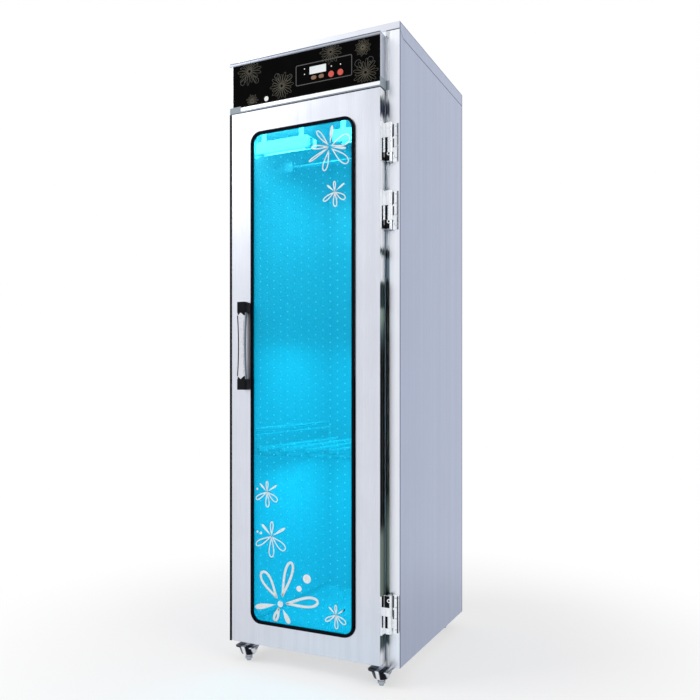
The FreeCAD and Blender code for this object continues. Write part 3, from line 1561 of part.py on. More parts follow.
def build():
    """Make every sub-part."""
    mirrored_pair(side_panel)
    back_panel()
    base_pan()
    top_cap()
    front_frame()
    liner()
    wall_spacers()
    drip_tray()
    hanger_rod()
    shelf()
    lamp_units()
    temperature_probe()
    air_duct()
    heater_element()
    fan_frame()
    fan_impeller()
    fan_guard()
    inner_boxes()
    control_housing()
    control_overlay()
    panel_trims()
    lenses()
    push_buttons()
    control_board()
    door_switch()
    door_pans()
    door_glazing()
    door_seals()
    handle()
    hinges()
    cable_gland()
    feet()


def check():
    """Stop if an object failed, a shape is unsound or a cut removed nothing."""
    for thing in doc.Objects:
        bad = {"Invalid", "Error"} & set(thing.State)
        if bad:
            raise RuntimeError(f"{thing.Label} failed: {thing.State}")
    for entry in SUB_PARTS:
        made = entry.body if isinstance(entry, Piece) else entry
        if made.Shape.isNull() or not made.Shape.isValid() or not made.Shape.Solids:
            raise RuntimeError(f"{made.Label} has no sound shape")
    for before, after in CUTS:
        if after.Shape.Volume >= before.Shape.Volume:
            raise RuntimeError(f"{after.Label} cuts nothing")


def write():
    """Write one STEP file for each sub-part."""
    os.makedirs("parts", exist_ok=True)
    for entry in SUB_PARTS:
        made = entry.body if isinstance(entry, Piece) else entry
        made.Shape.exportStep(os.path.join("parts", f"{made.Label}.step"))
    print(len(SUB_PARTS), "sub-parts written")


build()
doc.recompute()
check()
write()
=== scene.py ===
"""The looks of a dish sterilizer cabinet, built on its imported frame.

A tall stainless cabinet stands on four levelling feet. A glazed door hangs on three pinned hinges, a control
panel runs across its head, and the lit chamber behind the tinted glass holds a shelf, a hanging rod and lamp
hoods. Every size is in metres, in the frame's own axes: Z up, the front facing -Y.
"""

import logging
import math
from dataclasses import dataclass, field
from enum import Enum
from functools import reduce
from typing import Iterable, Mapping, Optional, Sequence, Union

import bpy
from mathutils import Euler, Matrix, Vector


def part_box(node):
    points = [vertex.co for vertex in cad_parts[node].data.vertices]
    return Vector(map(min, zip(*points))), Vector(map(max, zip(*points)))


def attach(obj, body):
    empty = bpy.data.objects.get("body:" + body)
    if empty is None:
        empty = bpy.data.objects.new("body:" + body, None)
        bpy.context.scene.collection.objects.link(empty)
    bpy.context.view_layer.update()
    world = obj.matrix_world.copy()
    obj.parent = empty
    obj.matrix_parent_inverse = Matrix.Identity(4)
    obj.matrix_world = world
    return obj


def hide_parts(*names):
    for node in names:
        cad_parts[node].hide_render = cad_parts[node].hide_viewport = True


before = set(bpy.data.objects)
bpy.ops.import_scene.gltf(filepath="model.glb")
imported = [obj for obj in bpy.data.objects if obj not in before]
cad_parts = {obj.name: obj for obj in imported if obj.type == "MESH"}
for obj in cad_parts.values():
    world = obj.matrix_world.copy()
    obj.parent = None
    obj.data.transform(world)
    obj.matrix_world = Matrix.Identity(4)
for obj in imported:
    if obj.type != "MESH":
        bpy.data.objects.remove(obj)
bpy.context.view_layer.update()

LOG = logging.getLogger("cabinet")
DOOR_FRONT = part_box("door_outer_pan")[0][1]
FRAME_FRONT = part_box("front_frame")[0][1]
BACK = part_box("back_panel")[1][1]
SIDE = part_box("side_panel_right")[1][0]
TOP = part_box("top_cap")[1][2]
SKIN = 0.0001
FORWARDS = (0.0, -1.0, 0.0)
BACKWARDS = (0.0, 1.0, 0.0)
STAND_UP = (math.pi / 2, 0.0, 0.0)
POINT_TAGS = ("turn", "reach", "broad", "face")

Colour = tuple[float, float, float]
Point = tuple[float, float, float]
Span = tuple[float, float]
Spot = tuple[float, float]
Term = Union["Socket", float]


def opaque(colour: Colour) -> tuple[float, float, float, float]:
    """The colour with full alpha, as a colour socket takes it."""
    return (*colour, 1.0)


def toned(colour: Colour, share: float, lift: float = 0.0) -> Colour:
    """The colour with each part times a share, plus a lift."""
    return tuple(share * part + lift for part in colour)


def middle(low: Spot, high: Spot, depth: float) -> Point:
    """The middle of an upright rectangle that stands at a depth."""
    return ((low[0] + high[0]) / 2, depth, (low[1] + high[1]) / 2)


# --------------------------------------------------------------------------------------------------
# Node trees
# --------------------------------------------------------------------------------------------------


class Socket:
    """One output of a node, on which arithmetic adds Math or Vector Math nodes."""

    def __init__(self, graph: "NodeGraph", port: bpy.types.NodeSocket) -> None:
        """Keeps the graph that the output belongs to, and the output."""
        self.graph = graph
        self.port = port

    def other(self, name: str) -> "Socket":
        """Another output of the same node, by name."""
        return Socket(self.graph, self.port.node.outputs[name])

    def apply(self, operation: str, first: Term, second: Term = 0.0) -> "Socket":
        """Adds the node for one operation.

        Args:
            operation: the name that Math and Vector Math nodes share.
            first: the left term.
            second: the right term.

        Returns:
            The node's result, a vector where either term is one.
        """
        terms = (first, second)
        if any(isinstance(term, Socket) and term.port.type == "VECTOR" for term in terms):
            spread = [term if isinstance(term, Socket) else (term,) * 3 for term in terms]
            return self.graph.node("ShaderNodeVectorMath", {"operation": operation}, dict(enumerate(spread)))
        return self.graph.node("ShaderNodeMath", {"operation": operation}, dict(enumerate(terms)))

    def __add__(self, other: Term) -> "Socket":
        """This plus the other."""
        return self.apply("ADD", self, other)

    def __radd__(self, other: Term) -> "Socket":
        """The other plus this."""
        return self.apply("ADD", other, self)

    def __sub__(self, other: Term) -> "Socket":
        """This less the other."""
        return self.apply("SUBTRACT", self, other)

    def __rsub__(self, other: Term) -> "Socket":
        """The other less this."""
        return self.apply("SUBTRACT", other, self)

    def __mul__(self, other: Term) -> "Socket":
        """This times the other."""
        return self.apply("MULTIPLY", self, other)

    def __rmul__(self, other: Term) -> "Socket":
        """The other times this."""
        return self.apply("MULTIPLY", other, self)

    def __truediv__(self, other: Term) -> "Socket":
        """This over the other."""
        return self.apply("DIVIDE", self, other)

    def __rtruediv__(self, other: Term) -> "Socket":
        """The other over this."""
        return self.apply("DIVIDE", other, self)

    def __pow__(self, other: Term) -> "Socket":
        """This to the power of the other."""
        return self.apply("POWER", self, other)

    def __rpow__(self, other: Term) -> "Socket":
        """The other to the power of this."""
        return self.apply("POWER", other, self)

    def __mod__(self, other: Term) -> "Socket":
        """What is left of this over the other."""
        return self.apply("MODULO", self, other)

    def __rmod__(self, other: Term) -> "Socket":
        """What is left of the other over this."""
        return self.apply("MODULO", other, self)

    def __abs__(self) -> "Socket":
        """This without its sign."""
        return self.apply("ABSOLUTE", self)

    def most(self, other: Term) -> "Socket":
        """The larger of this and the other."""
        return self.apply("MAXIMUM", self, other)

    def least(self, other: Term) -> "Socket":
        """The smaller of this and the other."""
        return self.apply("MINIMUM", self, other)


class NodeGraph:
    """A node tree that is written by calls."""

    def __init__(self, tree: bpy.types.NodeTree) -> None:
        """Takes the tree over, empty."""
        self.tree = tree
        self.tree.nodes.clear()

    def node(
        self,
        kind: str,
        settings: Optional[Mapping[str, object]] = None,
        inputs: Optional[Mapping[Union[int, str], object]] = None,
        output: Union[int, str] = 0,
    ) -> Socket:
        """Adds a node of any kind.

        Args:
            kind: the node's type name.
            settings: its properties.
            inputs: its inputs by name or number, each a Socket to link or a plain value.
            output: the output to give back.

        Returns:
            That output.
        """
        made = self.tree.nodes.new(kind)
        for name, value in (settings or {}).items():
            setattr(made, name, value)
        for key, value in (inputs or {}).items():
            if isinstance(value, Socket):
                self.tree.links.new(value.port, made.inputs[key])
            else:
                made.inputs[key].default_value = value
        return Socket(self, made.outputs[output] if len(made.outputs) else None)


class ShaderGraph(NodeGraph):
    """The nodes of one material."""

    def __init__(self, name: str) -> None:
        """Makes the material and takes over its tree.

        Args:
            name: the material's name.
        """
        self.material = bpy.data.materials.new(name)
        self.material.use_nodes = True
        super().__init__(self.material.node_tree)

    def place(self, stretch: Point = (1.0, 1.0, 1.0)) -> Socket:
        """Object coordinates, stretched."""
        where = self.node("ShaderNodeTexCoord", output="Object")
        return self.node("ShaderNodeMapping", None, {"Vector": where, "Scale": stretch})

    def axes(self) -> dict[str, Socket]:
        """Splits Object coordinates.

        Returns:
            Three numbers, by the names of their axes.
        """
        where = self.node("ShaderNodeTexCoord", output="Object")
        split = self.node("ShaderNodeSeparateXYZ", None, {0: where})
        return {name: split.other(name) for name in "XYZ"}

    def scaled(self, colour: Union[Socket, Colour], share: Socket) -> Socket:
        """The colour with its three parts times a share."""
        return self.node("ShaderNodeVectorMath", {"operation": "SCALE"}, {0: colour, "Scale": share})

    def ramp(self, value: Socket, stops: Sequence[tuple[float, Colour]]) -> Socket:
        """Colours along a value.

        Args:
            value: the value, from 0 to 1.
            stops: a place on it and the colour there, in order.

        Returns:
            The colour.
        """
        made = self.node("ShaderNodeValToRGB", None, {0: value})
        band = made.port.node.color_ramp
        for place, colour in stops[1:-1]:
            band.elements.new(place).color = opaque(colour)
        for item, (place, colour) in ((0, stops[0]), (-1, stops[-1])):
            band.elements[item].position = place
            band.elements[item].color = opaque(colour)
        return made

    def noise(self, where: Socket, scale: float, detail: float = 2.0, twist: float = 0.0) -> Socket:
        """Smooth noise from 0 to 1 at a scale per metre."""
        values = {"Vector": where, "Scale": scale, "Detail": detail, "Distortion": twist}
        return self.node("ShaderNodeTexNoise", None, values)

    def cells(self, where: Socket, scale: float, feature: str = "F1", scatter: float = 1.0) -> Socket:
        """Distance within cells that lie at a scale per metre, more or less scattered."""
        values = {"Vector": where, "Scale": scale, "Randomness": scatter}
        return self.node("ShaderNodeTexVoronoi", {"feature": feature}, values)

    def remap(self, value: Socket, start: float, stop: float, low: float, high: float) -> Socket:
        """Takes start..stop smoothly to low..high and holds it there outside."""
        values = {"Value": value, "From Min": start, "From Max": stop, "To Min": low, "To Max": high}
        return self.node("ShaderNodeMapRange", {"interpolation_type": "SMOOTHSTEP"}, values)

    def mix(self, share: Term, first: Union[Socket, Colour], second: Union[Socket, Colour]) -> Socket:
        """Blends two colours, all second where share is 1."""
        parts = [part if isinstance(part, Socket) else opaque(part) for part in (first, second)]
        return self.node("ShaderNodeMix", {"data_type": "RGBA"}, {0: share, 6: parts[0], 7: parts[1]}, 2)

    def bump(self, height: Socket, depth: float, strength: float = 1.0) -> Socket:
        """A normal that follows a height, depth metres from 0 to 1."""
        return self.node("ShaderNodeBump", None, {"Height": height, "Distance": depth, "Strength": strength})

    def principled(self, inputs: Mapping[str, object]) -> Socket:
        """A Principled surface with those inputs."""
        values = {key: opaque(value) if isinstance(value, tuple) else value for key, value in inputs.items()}
        return self.node("ShaderNodeBsdfPrincipled", None, values)

    def blend(self, share: Term, first: Socket, second: Socket) -> Socket:
        """Blends two surfaces, all second where share is 1."""
        return self.node("ShaderNodeMixShader", None, {0: share, 1: first, 2: second})

    def show(self, surface: Socket) -> bpy.types.Material:
        """Puts the surface on the material and gives the material back."""
        self.node("ShaderNodeOutputMaterial", None, {"Surface": surface})
        return self.material


class GeometryGraph(NodeGraph):
    """A geometry node tree with named inputs for its sizes."""

    KINDS = {int: "NodeSocketInt", float: "NodeSocketFloat"}

    def __init__(self, name: str, sizes: Mapping[str, Union[int, float]]) -> None:
        """Makes the tree.

        Args:
            name: the tree's name.
            sizes: each input's name and the value that it takes.
        """
        super().__init__(bpy.data.node_groups.new(name, "GeometryNodeTree"))
        self.sizes = dict(sizes)
        self.sockets: dict[str, str] = {}
        ports = self.tree.interface
        ports.new_socket("Geometry", in_out="INPUT", socket_type="NodeSocketGeometry")
        ports.new_socket("Geometry", in_out="OUTPUT", socket_type="NodeSocketGeometry")
        for label, value in sizes.items():
            made = ports.new_socket(label, in_out="INPUT", socket_type=self.KINDS[type(value)])
            self.sockets[label] = made.identifier
        self.source = self.node("NodeGroupInput")

    def size(self, label: str) -> Socket:
        """The input of that name."""
        return self.source.other(label)

    def vector(self, x: Term = 0.0, y: Term = 0.0, z: Term = 0.0) -> Socket:
        """A vector of three terms."""
        return self.node("ShaderNodeCombineXYZ", None, {0: x, 1: y, 2: z})

    def join(self, parts: Sequence[Socket]) -> Socket:
        """Joins shapes.

        Args:
            parts: the shapes.

        Returns:
            All of them as one geometry.
        """
        joined = self.node("GeometryNodeJoinGeometry")
        for part in parts:
            self.tree.links.new(part.port, joined.port.node.inputs[0])
        return joined

    def seed_lines(self) -> Socket:
        """The seed mesh's edges as curves."""
        return self.node("GeometryNodeMeshToCurve", None, {"Mesh": self.source.other("Geometry")})

    def set_out(self, shape: Socket, values: Mapping[str, object]) -> Socket:
        """Sets a copy of a shape on each point of the seed mesh.

        Args:
            shape: the shape.
            values: more inputs, such as each copy's turn or scale.

        Returns:
            The copies.
        """
        points = self.node("GeometryNodeMeshToPoints", None, {"Mesh": self.source.other("Geometry")})
        inputs = {"Points": points, "Instance": shape, **values}
        return self.node("GeometryNodeInstanceOnPoints", None, inputs)

    def attribute(self, name: str, kind: str = "FLOAT") -> Socket:
        """A named attribute of what is being worked on."""
        return self.node("GeometryNodeInputNamedAttribute", {"data_type": kind}, {"Name": name})

    def move(self, shape: Socket, shift: object = (0.0, 0.0, 0.0), turn: Point = (0.0, 0.0, 0.0),
             scale: object = (1.0, 1.0, 1.0)) -> Socket:
        """The shape scaled, turned and shifted."""
        values = {"Geometry": shape, "Translation": shift, "Rotation": Euler(turn), "Scale": scale}
        return self.node("GeometryNodeTransform", None, values)

    def grow(self, name: str, seed: bpy.types.Mesh, shape: Socket, finish: "Finish") -> bpy.types.Object:
        """Ends the tree, runs it on a seed mesh and keeps the result as a plain mesh.

        Args:
            name: the new piece's name.
            seed: the mesh that the tree starts from.
            shape: the geometry that the tree ends with.
            finish: what the piece is finished in.

        Returns:
            The piece, at the origin.
        """
        whole = self.node("GeometryNodeRealizeInstances", None, {"Geometry": shape})
        coated = self.node("GeometryNodeSetMaterial", None, {
            "Geometry": whole, "Material": finish.material()})
        self.node("NodeGroupOutput", None, {"Geometry": coated})
        host = bpy.data.objects.new(name, seed)
        bpy.context.scene.collection.objects.link(host)
        modifier = host.modifiers.new("grow", "NODES")
        modifier.node_group = self.tree
        for label, value in self.sizes.items():
            modifier[self.sockets[label]] = value
        depsgraph = bpy.context.evaluated_depsgraph_get()
        mesh = bpy.data.meshes.new_from_object(host.evaluated_get(depsgraph), depsgraph=depsgraph)
        bpy.data.objects.remove(host)
        for other in [item.name for item in mesh.attributes if item.name in POINT_TAGS]:
            mesh.attributes.remove(mesh.attributes[other])
        return add_piece(name, mesh)


# --------------------------------------------------------------------------------------------------
# Meshes
# --------------------------------------------------------------------------------------------------


def add_piece(name: str, mesh: bpy.types.Mesh) -> bpy.types.Object:
    """Links a mesh into the scene.

    Args:
        name: the piece's name.
        mesh: its mesh.

    Returns:
        The piece, at the origin.
    """
    mesh.name = name
    made = bpy.data.objects.new(name, mesh)
    bpy.context.scene.collection.objects.link(made)
    return made


def plain_mesh(name: str, points: Sequence[Point], edges: Sequence[tuple[int, int]] = (),
               faces: Sequence[Sequence[int]] = ()) -> bpy.types.Mesh:
    """Makes a mesh.

    Args:
        name: its name.
        points: its points.
        edges: two point numbers for each edge.
        faces: the point numbers round each face.

    Returns:
        The mesh.
    """
    mesh = bpy.data.meshes.new(name)
    mesh.from_pydata(list(points), list(edges), list(faces))
    mesh.update()
    return mesh


def tag_points(mesh: bpy.types.Mesh, name: str, values: Sequence[object]) -> None:
    """Stores one number or vector for each point, under a name.

    Args:
        mesh: the mesh whose points they are.
        name: the attribute's name.
        values: a number or a point for each.
    """
    vector = isinstance(values[0], tuple)
    tag = mesh.attributes.new(name, "FLOAT_VECTOR" if vector else "FLOAT", "POINT")
    for slot, value in zip(tag.data, values):
        if vector:
            slot.vector = value
        else:
            slot.value = value


def smooth(piece: bpy.types.Object, angle: float = 40.0) -> None:
    """Shades a piece smooth across edges flatter than the angle, in degrees."""
    piece.data.shade_smooth()
    piece.data.set_sharp_from_angle(angle=math.radians(angle))


# --------------------------------------------------------------------------------------------------
# Finishes
# --------------------------------------------------------------------------------------------------


class Finish:
    """A finish that makes its material once."""

    made: dict["Finish", bpy.types.Material] = {}

    def material(self) -> bpy.types.Material:
        """Makes the material on first use.

        Returns:
            The material.
        """
        if self not in Finish.made:
            shader = ShaderGraph(self.name)
            Finish.made[self] = shader.show(self.mixed(shader))
        return Finish.made[self]

    def mixed(self, shader: ShaderGraph) -> Socket:
        """The surface, which each finish works out."""
        raise NotImplementedError


class Grain(Enum):
    """Which way the lines of a brushed sheet run, as how often they cross each axis."""

    UPRIGHT = (1.0, 1.0, 0.008)
    ACROSS = (0.008, 1.0, 1.0)


@dataclass(frozen=True)
class BrushedSteel(Finish):
    """Satin stainless sheet: fine lines one way, broad rolling bands and faint hand marks."""

    name: str
    tint: Colour
    grain: Grain
    roughness: float = 0.33
    metallic: float = 1.0
    line_scale: float = 2600.0
    band_scale: float = 46.0
    mark_scale: float = 9.0

    def sheet_tint(self, shader: ShaderGraph) -> Union[Socket, Colour]:
        """The steel's own tint, the same all over."""
        return self.tint

    def mixed(self, shader: ShaderGraph) -> Socket:
        """Lines in colour, roughness and bump, with smudges over them.

        Args:
            shader: the material's nodes.

        Returns:
            The surface.
        """
        where = shader.place(self.grain.value)
        lines = shader.noise(where, self.line_scale, 3.0)
        bands = shader.noise(where, self.band_scale, 3.0)
        marks = shader.noise(shader.place(), self.mark_scale, 5.0, 0.6)
        share = shader.remap(lines * 0.5 + bands * 0.35 + marks * 0.15, 0.38, 0.6, 0.9, 1.0)
        rough = self.roughness + (lines - 0.5) * 0.1 + shader.remap(marks, 0.5, 0.7, 0.0, 0.025)
        return shader.principled({
            "Base Color": shader.scaled(self.sheet_tint(shader), share),
            "Metallic": self.metallic,
            "Roughness": rough,
            "Normal": shader.bump(lines, 0.00003, 0.5),
        })


@dataclass(frozen=True)
class FoldedSheet(BrushedSteel):
    """Satin sheet folded round the cabinet, with painted shade: its side faces are painted cooler and darker,
    and dark lines of painted shade run along its folds and top roll, with a dark seam line where the cap's
    skirt ends.

    The lines are as wide as fold, roll and hem say. The cap's skirt hangs as far as skirt says, and rises along
    a slope to the nose at the front.
    """

    # side is the painted-shade tint of the side faces; edge is the dark tone of the painted fold shade and of
    # the seam.
    side: Colour = (0.5, 0.5, 0.5)
    edge: Colour = (0.2, 0.2, 0.2)
    fold: float = 0.0085
    roll: float = 0.0034
    skin: float = 0.0003
    hem: float = 0.0023
    skirt: float = 0.0400
    nose: float = 0.0210
    slope: float = 0.0280
    crisp: float = 0.6

    def sheet_tint(self, shader: ShaderGraph) -> Union[Socket, Colour]:
        """The side's tint, painted darker as shade, where the sheet faces sideways, and the edge's dark tone
        along its folds and top roll, where it is painted shade, and along the skirt's seam.

        Args:
            shader: the material's nodes.

        Returns:
            The tint.
        """
        spot = shader.axes()
        shaded_side = shader.remap(abs(spot["X"]), SIDE - 2 * self.skin, SIDE - self.skin, 0.0, 1.0)
        near = (spot["Y"] - FRAME_FRONT).least(BACK - spot["Y"])
        fold = shader.remap(near, self.fold * self.crisp, self.fold, 1.0, 0.0)
        roll = shader.remap(TOP - spot["Z"], self.roll * self.crisp, self.roll, 1.0, 0.0)
        ahead = (FRAME_FRONT + self.slope - spot["Y"]) * ((self.skirt - self.nose) / self.slope)
        below = spot["Z"] - (TOP - self.skirt) - ahead.most(0.0)
        seam = shader.remap(abs(below), self.hem * 0.5, self.hem, 1.0, 0.0)
        line = fold.most(roll).most(seam)
        # Painted shade: the darker side tint where the sheet faces sideways, and the dark edge tone along the
        # folds and top roll, which also marks the skirt's seam.
        return shader.mix(shaded_side, self.tint, shader.mix(line, self.side, self.edge))


@dataclass(frozen=True)
class Polished(Finish):
    """Bright plated or polished metal with faint wiping marks, and dark upright streaks of painted reflection
    where the finish asks for them.
    """

    name: str
    tint: Colour
    roughness: float = 0.09
    reflection_streak_tint: Colour = (0.0, 0.0, 0.0)
    reflection_streak_share: float = 0.0
    metallic: float = 1.0
    mark_scale: float = 55.0
    pit_scale: float = 700.0
    streak_scale: float = 120.0

    def mixed(self, shader: ShaderGraph) -> Socket:
        """Wiping marks in the roughness, a trace of unevenness, and dark upright streaks of painted reflection.

        Args:
            shader: the material's nodes.

        Returns:
            The surface.
        """
        where = shader.place()
        marks = shader.noise(where, self.mark_scale, 5.0, 0.8)
        pits = shader.noise(where, self.pit_scale, 2.0)
        bright = shader.mix(shader.remap(marks, 0.45, 0.7, 0.0, 1.0), self.tint, toned(self.tint, 0.93))
        # Painted reflection: dark upright streaks mixed into the colour.
        streaks = shader.noise(shader.place((1.0, 1.0, 0.06)), self.streak_scale, 1.0)
        wider = 0.2 * self.reflection_streak_share
        share = shader.remap(streaks, 0.5 - wider, 0.72 - wider, 0.0, self.reflection_streak_share)
        return shader.principled({
            "Base Color": shader.mix(share, bright, self.reflection_streak_tint),
            "Metallic": self.metallic,
            "Roughness": self.roughness + shader.remap(marks, 0.4, 0.75, 0.0, 0.1),
            "Normal": shader.bump(pits, 0.00001, 0.15),
        })


@dataclass(frozen=True)
class ShadedTrim(Finish):
    """Bright rolled strip with painted shade at set heights: grey lines where its lips turn under, a grey upper
    trim, and a black band where the panel's edge shades the lower trim.
    """

    name: str
    low: float
    high: float
    stops: Sequence[tuple[float, Colour]]
    roughness: float = 0.26
    mark_scale: float = 55.0
    line_scale: float = 1800.0

    def mixed(self, shader: ShaderGraph) -> Socket:
        """Painted shade from the height, with wiping marks in the gloss.

        Args:
            shader: the material's nodes.

        Returns:
            The surface.
        """
        height = (shader.axes()["Z"] - self.low) / (self.high - self.low)
        marks = shader.noise(shader.place(), self.mark_scale, 5.0, 0.8)
        fine = shader.noise(shader.place((0.02, 1.0, 1.0)), self.line_scale, 2.0)
        wiped = shader.remap(marks, 0.4, 0.7, 1.0, 0.95)
        return shader.principled({
            "Base Color": shader.scaled(shader.ramp(height, self.stops), wiped),
            "Metallic": 1.0,
            "Roughness": self.roughness + shader.remap(marks, 0.4, 0.75, 0.0, 0.1),
            "Normal": shader.bump(fine, 0.00001, 0.2),
        })


@dataclass(frozen=True)
class PaintedReflectionChrome(Finish):
    """Deep-plated steel, turned smooth, with painted reflection: upright dark and bright bands about each foot.
    """

    name: str
    pitch: float
    reach: float
    stops: Sequence[tuple[float, Colour]]
    roughness: float = 0.1
    wave: float = 0.004
    wave_scale: float = 60.0
    mark_scale: float = 90.0

    def mixed(self, shader: ShaderGraph) -> Socket:
        """Painted reflection: tone from the way across each foot, a little wavy, with wiping marks in the
        gloss.

        Args:
            shader: the material's nodes.

        Returns:
            The surface.
        """
        wave = shader.noise(shader.place((1.0, 1.0, 0.5)), self.wave_scale, 2.0)
        across = (shader.axes()["X"] + self.pitch) % self.pitch - self.pitch / 2 + (wave - 0.5) * self.wave
        marks = shader.noise(shader.place(), self.mark_scale, 4.0, 0.6)
        return shader.principled({
            "Base Color": shader.ramp(across / (2 * self.reach) + 0.5, self.stops),
            "Metallic": 1.0,
            "Roughness": self.roughness + shader.remap(marks, 0.4, 0.75, 0.0, 0.1),
            "Normal": shader.bump(marks, 0.00002, 0.2),
        })


@dataclass(frozen=True)
class ZincPlate(Finish):
    """Zinc-coated steel, whose crystals show as dull and bright facets."""

    name: str
    tint: Colour
    spangle: float
    roughness: float = 0.42
    film_scale: float = 14.0

    def mixed(self, shader: ShaderGraph) -> Socket:
        """Facets from cells, each with its own tone, over a cloudy film.

        Args:
            shader: the material's nodes.

        Returns:
            The surface.
        """
        where = shader.place()
        facets = shader.cells(where, self.spangle).other("Color")
        tone = shader.node("ShaderNodeSeparateColor", None, {0: facets})
        film = shader.noise(where, self.film_scale, 5.0)
        return shader.principled({
            "Base Color": shader.mix(tone * 0.6 + film * 0.4, toned(self.tint, 0.82), self.tint),
            "Metallic": 1.0,
            "Roughness": self.roughness + (tone - 0.5) * 0.12 + (film - 0.5) * 0.15,
            "Normal": shader.bump(film, 0.0002, 0.15),
        })


@dataclass(frozen=True)
class Moulded(Finish):
    """Moulded plastic or enamel: a fine skin, uneven gloss and a little grime or fading."""

    name: str
    tint: Colour
    roughness: float
    skin: float = 0.00004
    skin_scale: float = 1400.0
    coat: float = 0.0
    specular: float = 0.5
    fade: float = 0.012
    drift_scale: float = 22.0
    scuff_scale: float = 160.0

    def mixed(self, shader: ShaderGraph) -> Socket:
        """A grained skin whose colour drifts a little.

        Args:
            shader: the material's nodes.

        Returns:
            The surface.
        """
        where = shader.place()
        grain = shader.noise(where, self.skin_scale, 3.0)
        drift = shader.noise(where, self.drift_scale, 4.0)
        scuff = shader.noise(shader.place((1.0, 0.3, 0.3)), self.scuff_scale, 4.0, 0.4)
        worn = toned(self.tint, 0.9, self.fade)
        return shader.principled({
            "Base Color": shader.mix(shader.remap(drift, 0.4, 0.68, 0.0, 1.0), self.tint, worn),
            "Roughness": self.roughness + (grain - 0.5) * 0.08 + shader.remap(scuff, 0.58, 0.72, 0.0, 0.1),
            "Normal": shader.bump(grain, self.skin, 0.6),
            "Coat Weight": self.coat,
            "Coat Roughness": 0.08,
            "Specular IOR Level": self.specular,
        })


@dataclass(frozen=True)
class PaintedGlowEnamel(Finish):
    """White enamel close under the lamps, painted bright: it glows in place of the lamps' light on it."""

    name: str
    tint: Colour
    glow: float
    peel_scale: float = 420.0
    drift_scale: float = 12.0

    def mixed(self, shader: ShaderGraph) -> Socket:
        """A smooth, slightly orange-peeled coat that fades a little from place to place, and glows with painted
        light.

        Args:
            shader: the material's nodes.

        Returns:
            The surface.
        """
        where = shader.place()
        peel = shader.noise(where, self.peel_scale, 3.0)
        drift = shader.noise(where, self.drift_scale, 3.0)
        coat = shader.mix(drift, toned(self.tint, 0.9), self.tint)
        return shader.principled({
            "Base Color": coat,
            "Roughness": 0.24 + peel * 0.08,
            "Normal": shader.bump(peel, 0.00012, 0.6),
            "Emission Color": coat,
            "Emission Strength": self.glow,
        })


@dataclass(frozen=True)
class ShadeAndReflectionBand(Finish):
    """Dark edging whose tones along its height are painted reflection and shade, mottled, with fine pale ribs.
    """

    name: str
    stops: Sequence[tuple[float, Colour]]
    ribs: Sequence[float]
    along: str
    rib: Colour = (0.16, 0.18, 0.18)
    rib_half: Span = (0.0003, 0.0007)
    waver: float = 0.05
    mottle_scale: float = 26.0

    def mixed(self, shader: ShaderGraph) -> Socket:
        """Painted reflection and shade: tone from the height, broken up by stretched mottling, and ribs at set
        places across.

        Args:
            shader: the material's nodes.

        Returns:
            The surface.
        """
        spot = shader.axes()
        mottle = shader.noise(shader.place((14.0, 14.0, 1.0)), self.mottle_scale, 3.0, 0.8)
        tone = shader.ramp((spot["Z"] + (mottle - 0.5) * self.waver) / TOP, self.stops)
        masks = [shader.remap(abs(spot[self.along] - place), *self.rib_half, 1.0, 0.0) for place in self.ribs]
        lines = reduce(Socket.most, masks)
        broken = lines * shader.remap(mottle, 0.35, 0.6, 0.2, 1.0)
        return shader.principled({
            "Base Color": shader.mix(broken, tone, self.rib),
            "Roughness": 0.3 + mottle * 0.1,
            "Specular IOR Level": 0.05,
            "Normal": shader.bump(lines, 0.0003, 0.8),
        })


@dataclass(frozen=True)
class Rubber(Finish):
    """Soft black rubber with a dusty bloom."""

    name: str
    tint: Colour
    roughness: float = 0.62
    bloom_scale: float = 70.0
    pit_scale: float = 2200.0

    def mixed(self, shader: ShaderGraph) -> Socket:
        """Bloom in patches and a matt, finely pitted skin.

        Args:
            shader: the material's nodes.

        Returns:
            The surface.
        """
        where = shader.place()
        bloom = shader.noise(where, self.bloom_scale, 5.0)
        pits = shader.noise(where, self.pit_scale, 2.0)
        dusty = toned(self.tint, 1.7, 0.003)
        return shader.principled({
            "Base Color": shader.mix(shader.remap(bloom, 0.5, 0.75, 0.0, 0.7), self.tint, dusty),
            "Roughness": self.roughness + (bloom - 0.5) * 0.2,
            "Specular IOR Level": 0.05,
            "Normal": shader.bump(pits, 0.00006, 0.6),
        })


@dataclass(frozen=True)
class TintedGlass(Finish):
    """Blue film-backed glass: clear enough to show what is behind, with a body colour of its own."""

    name: str
    body: Colour
    through: Colour
    density: float
    sheen: Colour = (0.4, 0.9, 1.0)
    streak_scale: float = 18.0
    cloud_scale: float = 2.2

    def mixed(self, shader: ShaderGraph) -> Socket:
        """A tinted clear part under a glossy coloured part, with faint wiping streaks.

        Args:
            shader: the material's nodes.

        Returns:
            The surface.
        """
        streaks = shader.noise(shader.place((1.0, 1.0, 0.25)), self.streak_scale, 4.0, 0.5)
        cloud = shader.noise(shader.place(), self.cloud_scale, 1.0)
        gloss = shader.principled({
            "Base Color": shader.mix(cloud, toned(self.body, 0.86), self.body),
            "Roughness": shader.remap(streaks, 0.4, 0.75, 0.02, 0.08),
            "IOR": 1.5,
            "Specular Tint": self.sheen,
        })
        clear = shader.node("ShaderNodeBsdfTransparent", None, {"Color": opaque(self.through)})
        share = self.density + (streaks - 0.5) * 0.05
        return shader.blend(share, clear, gloss)


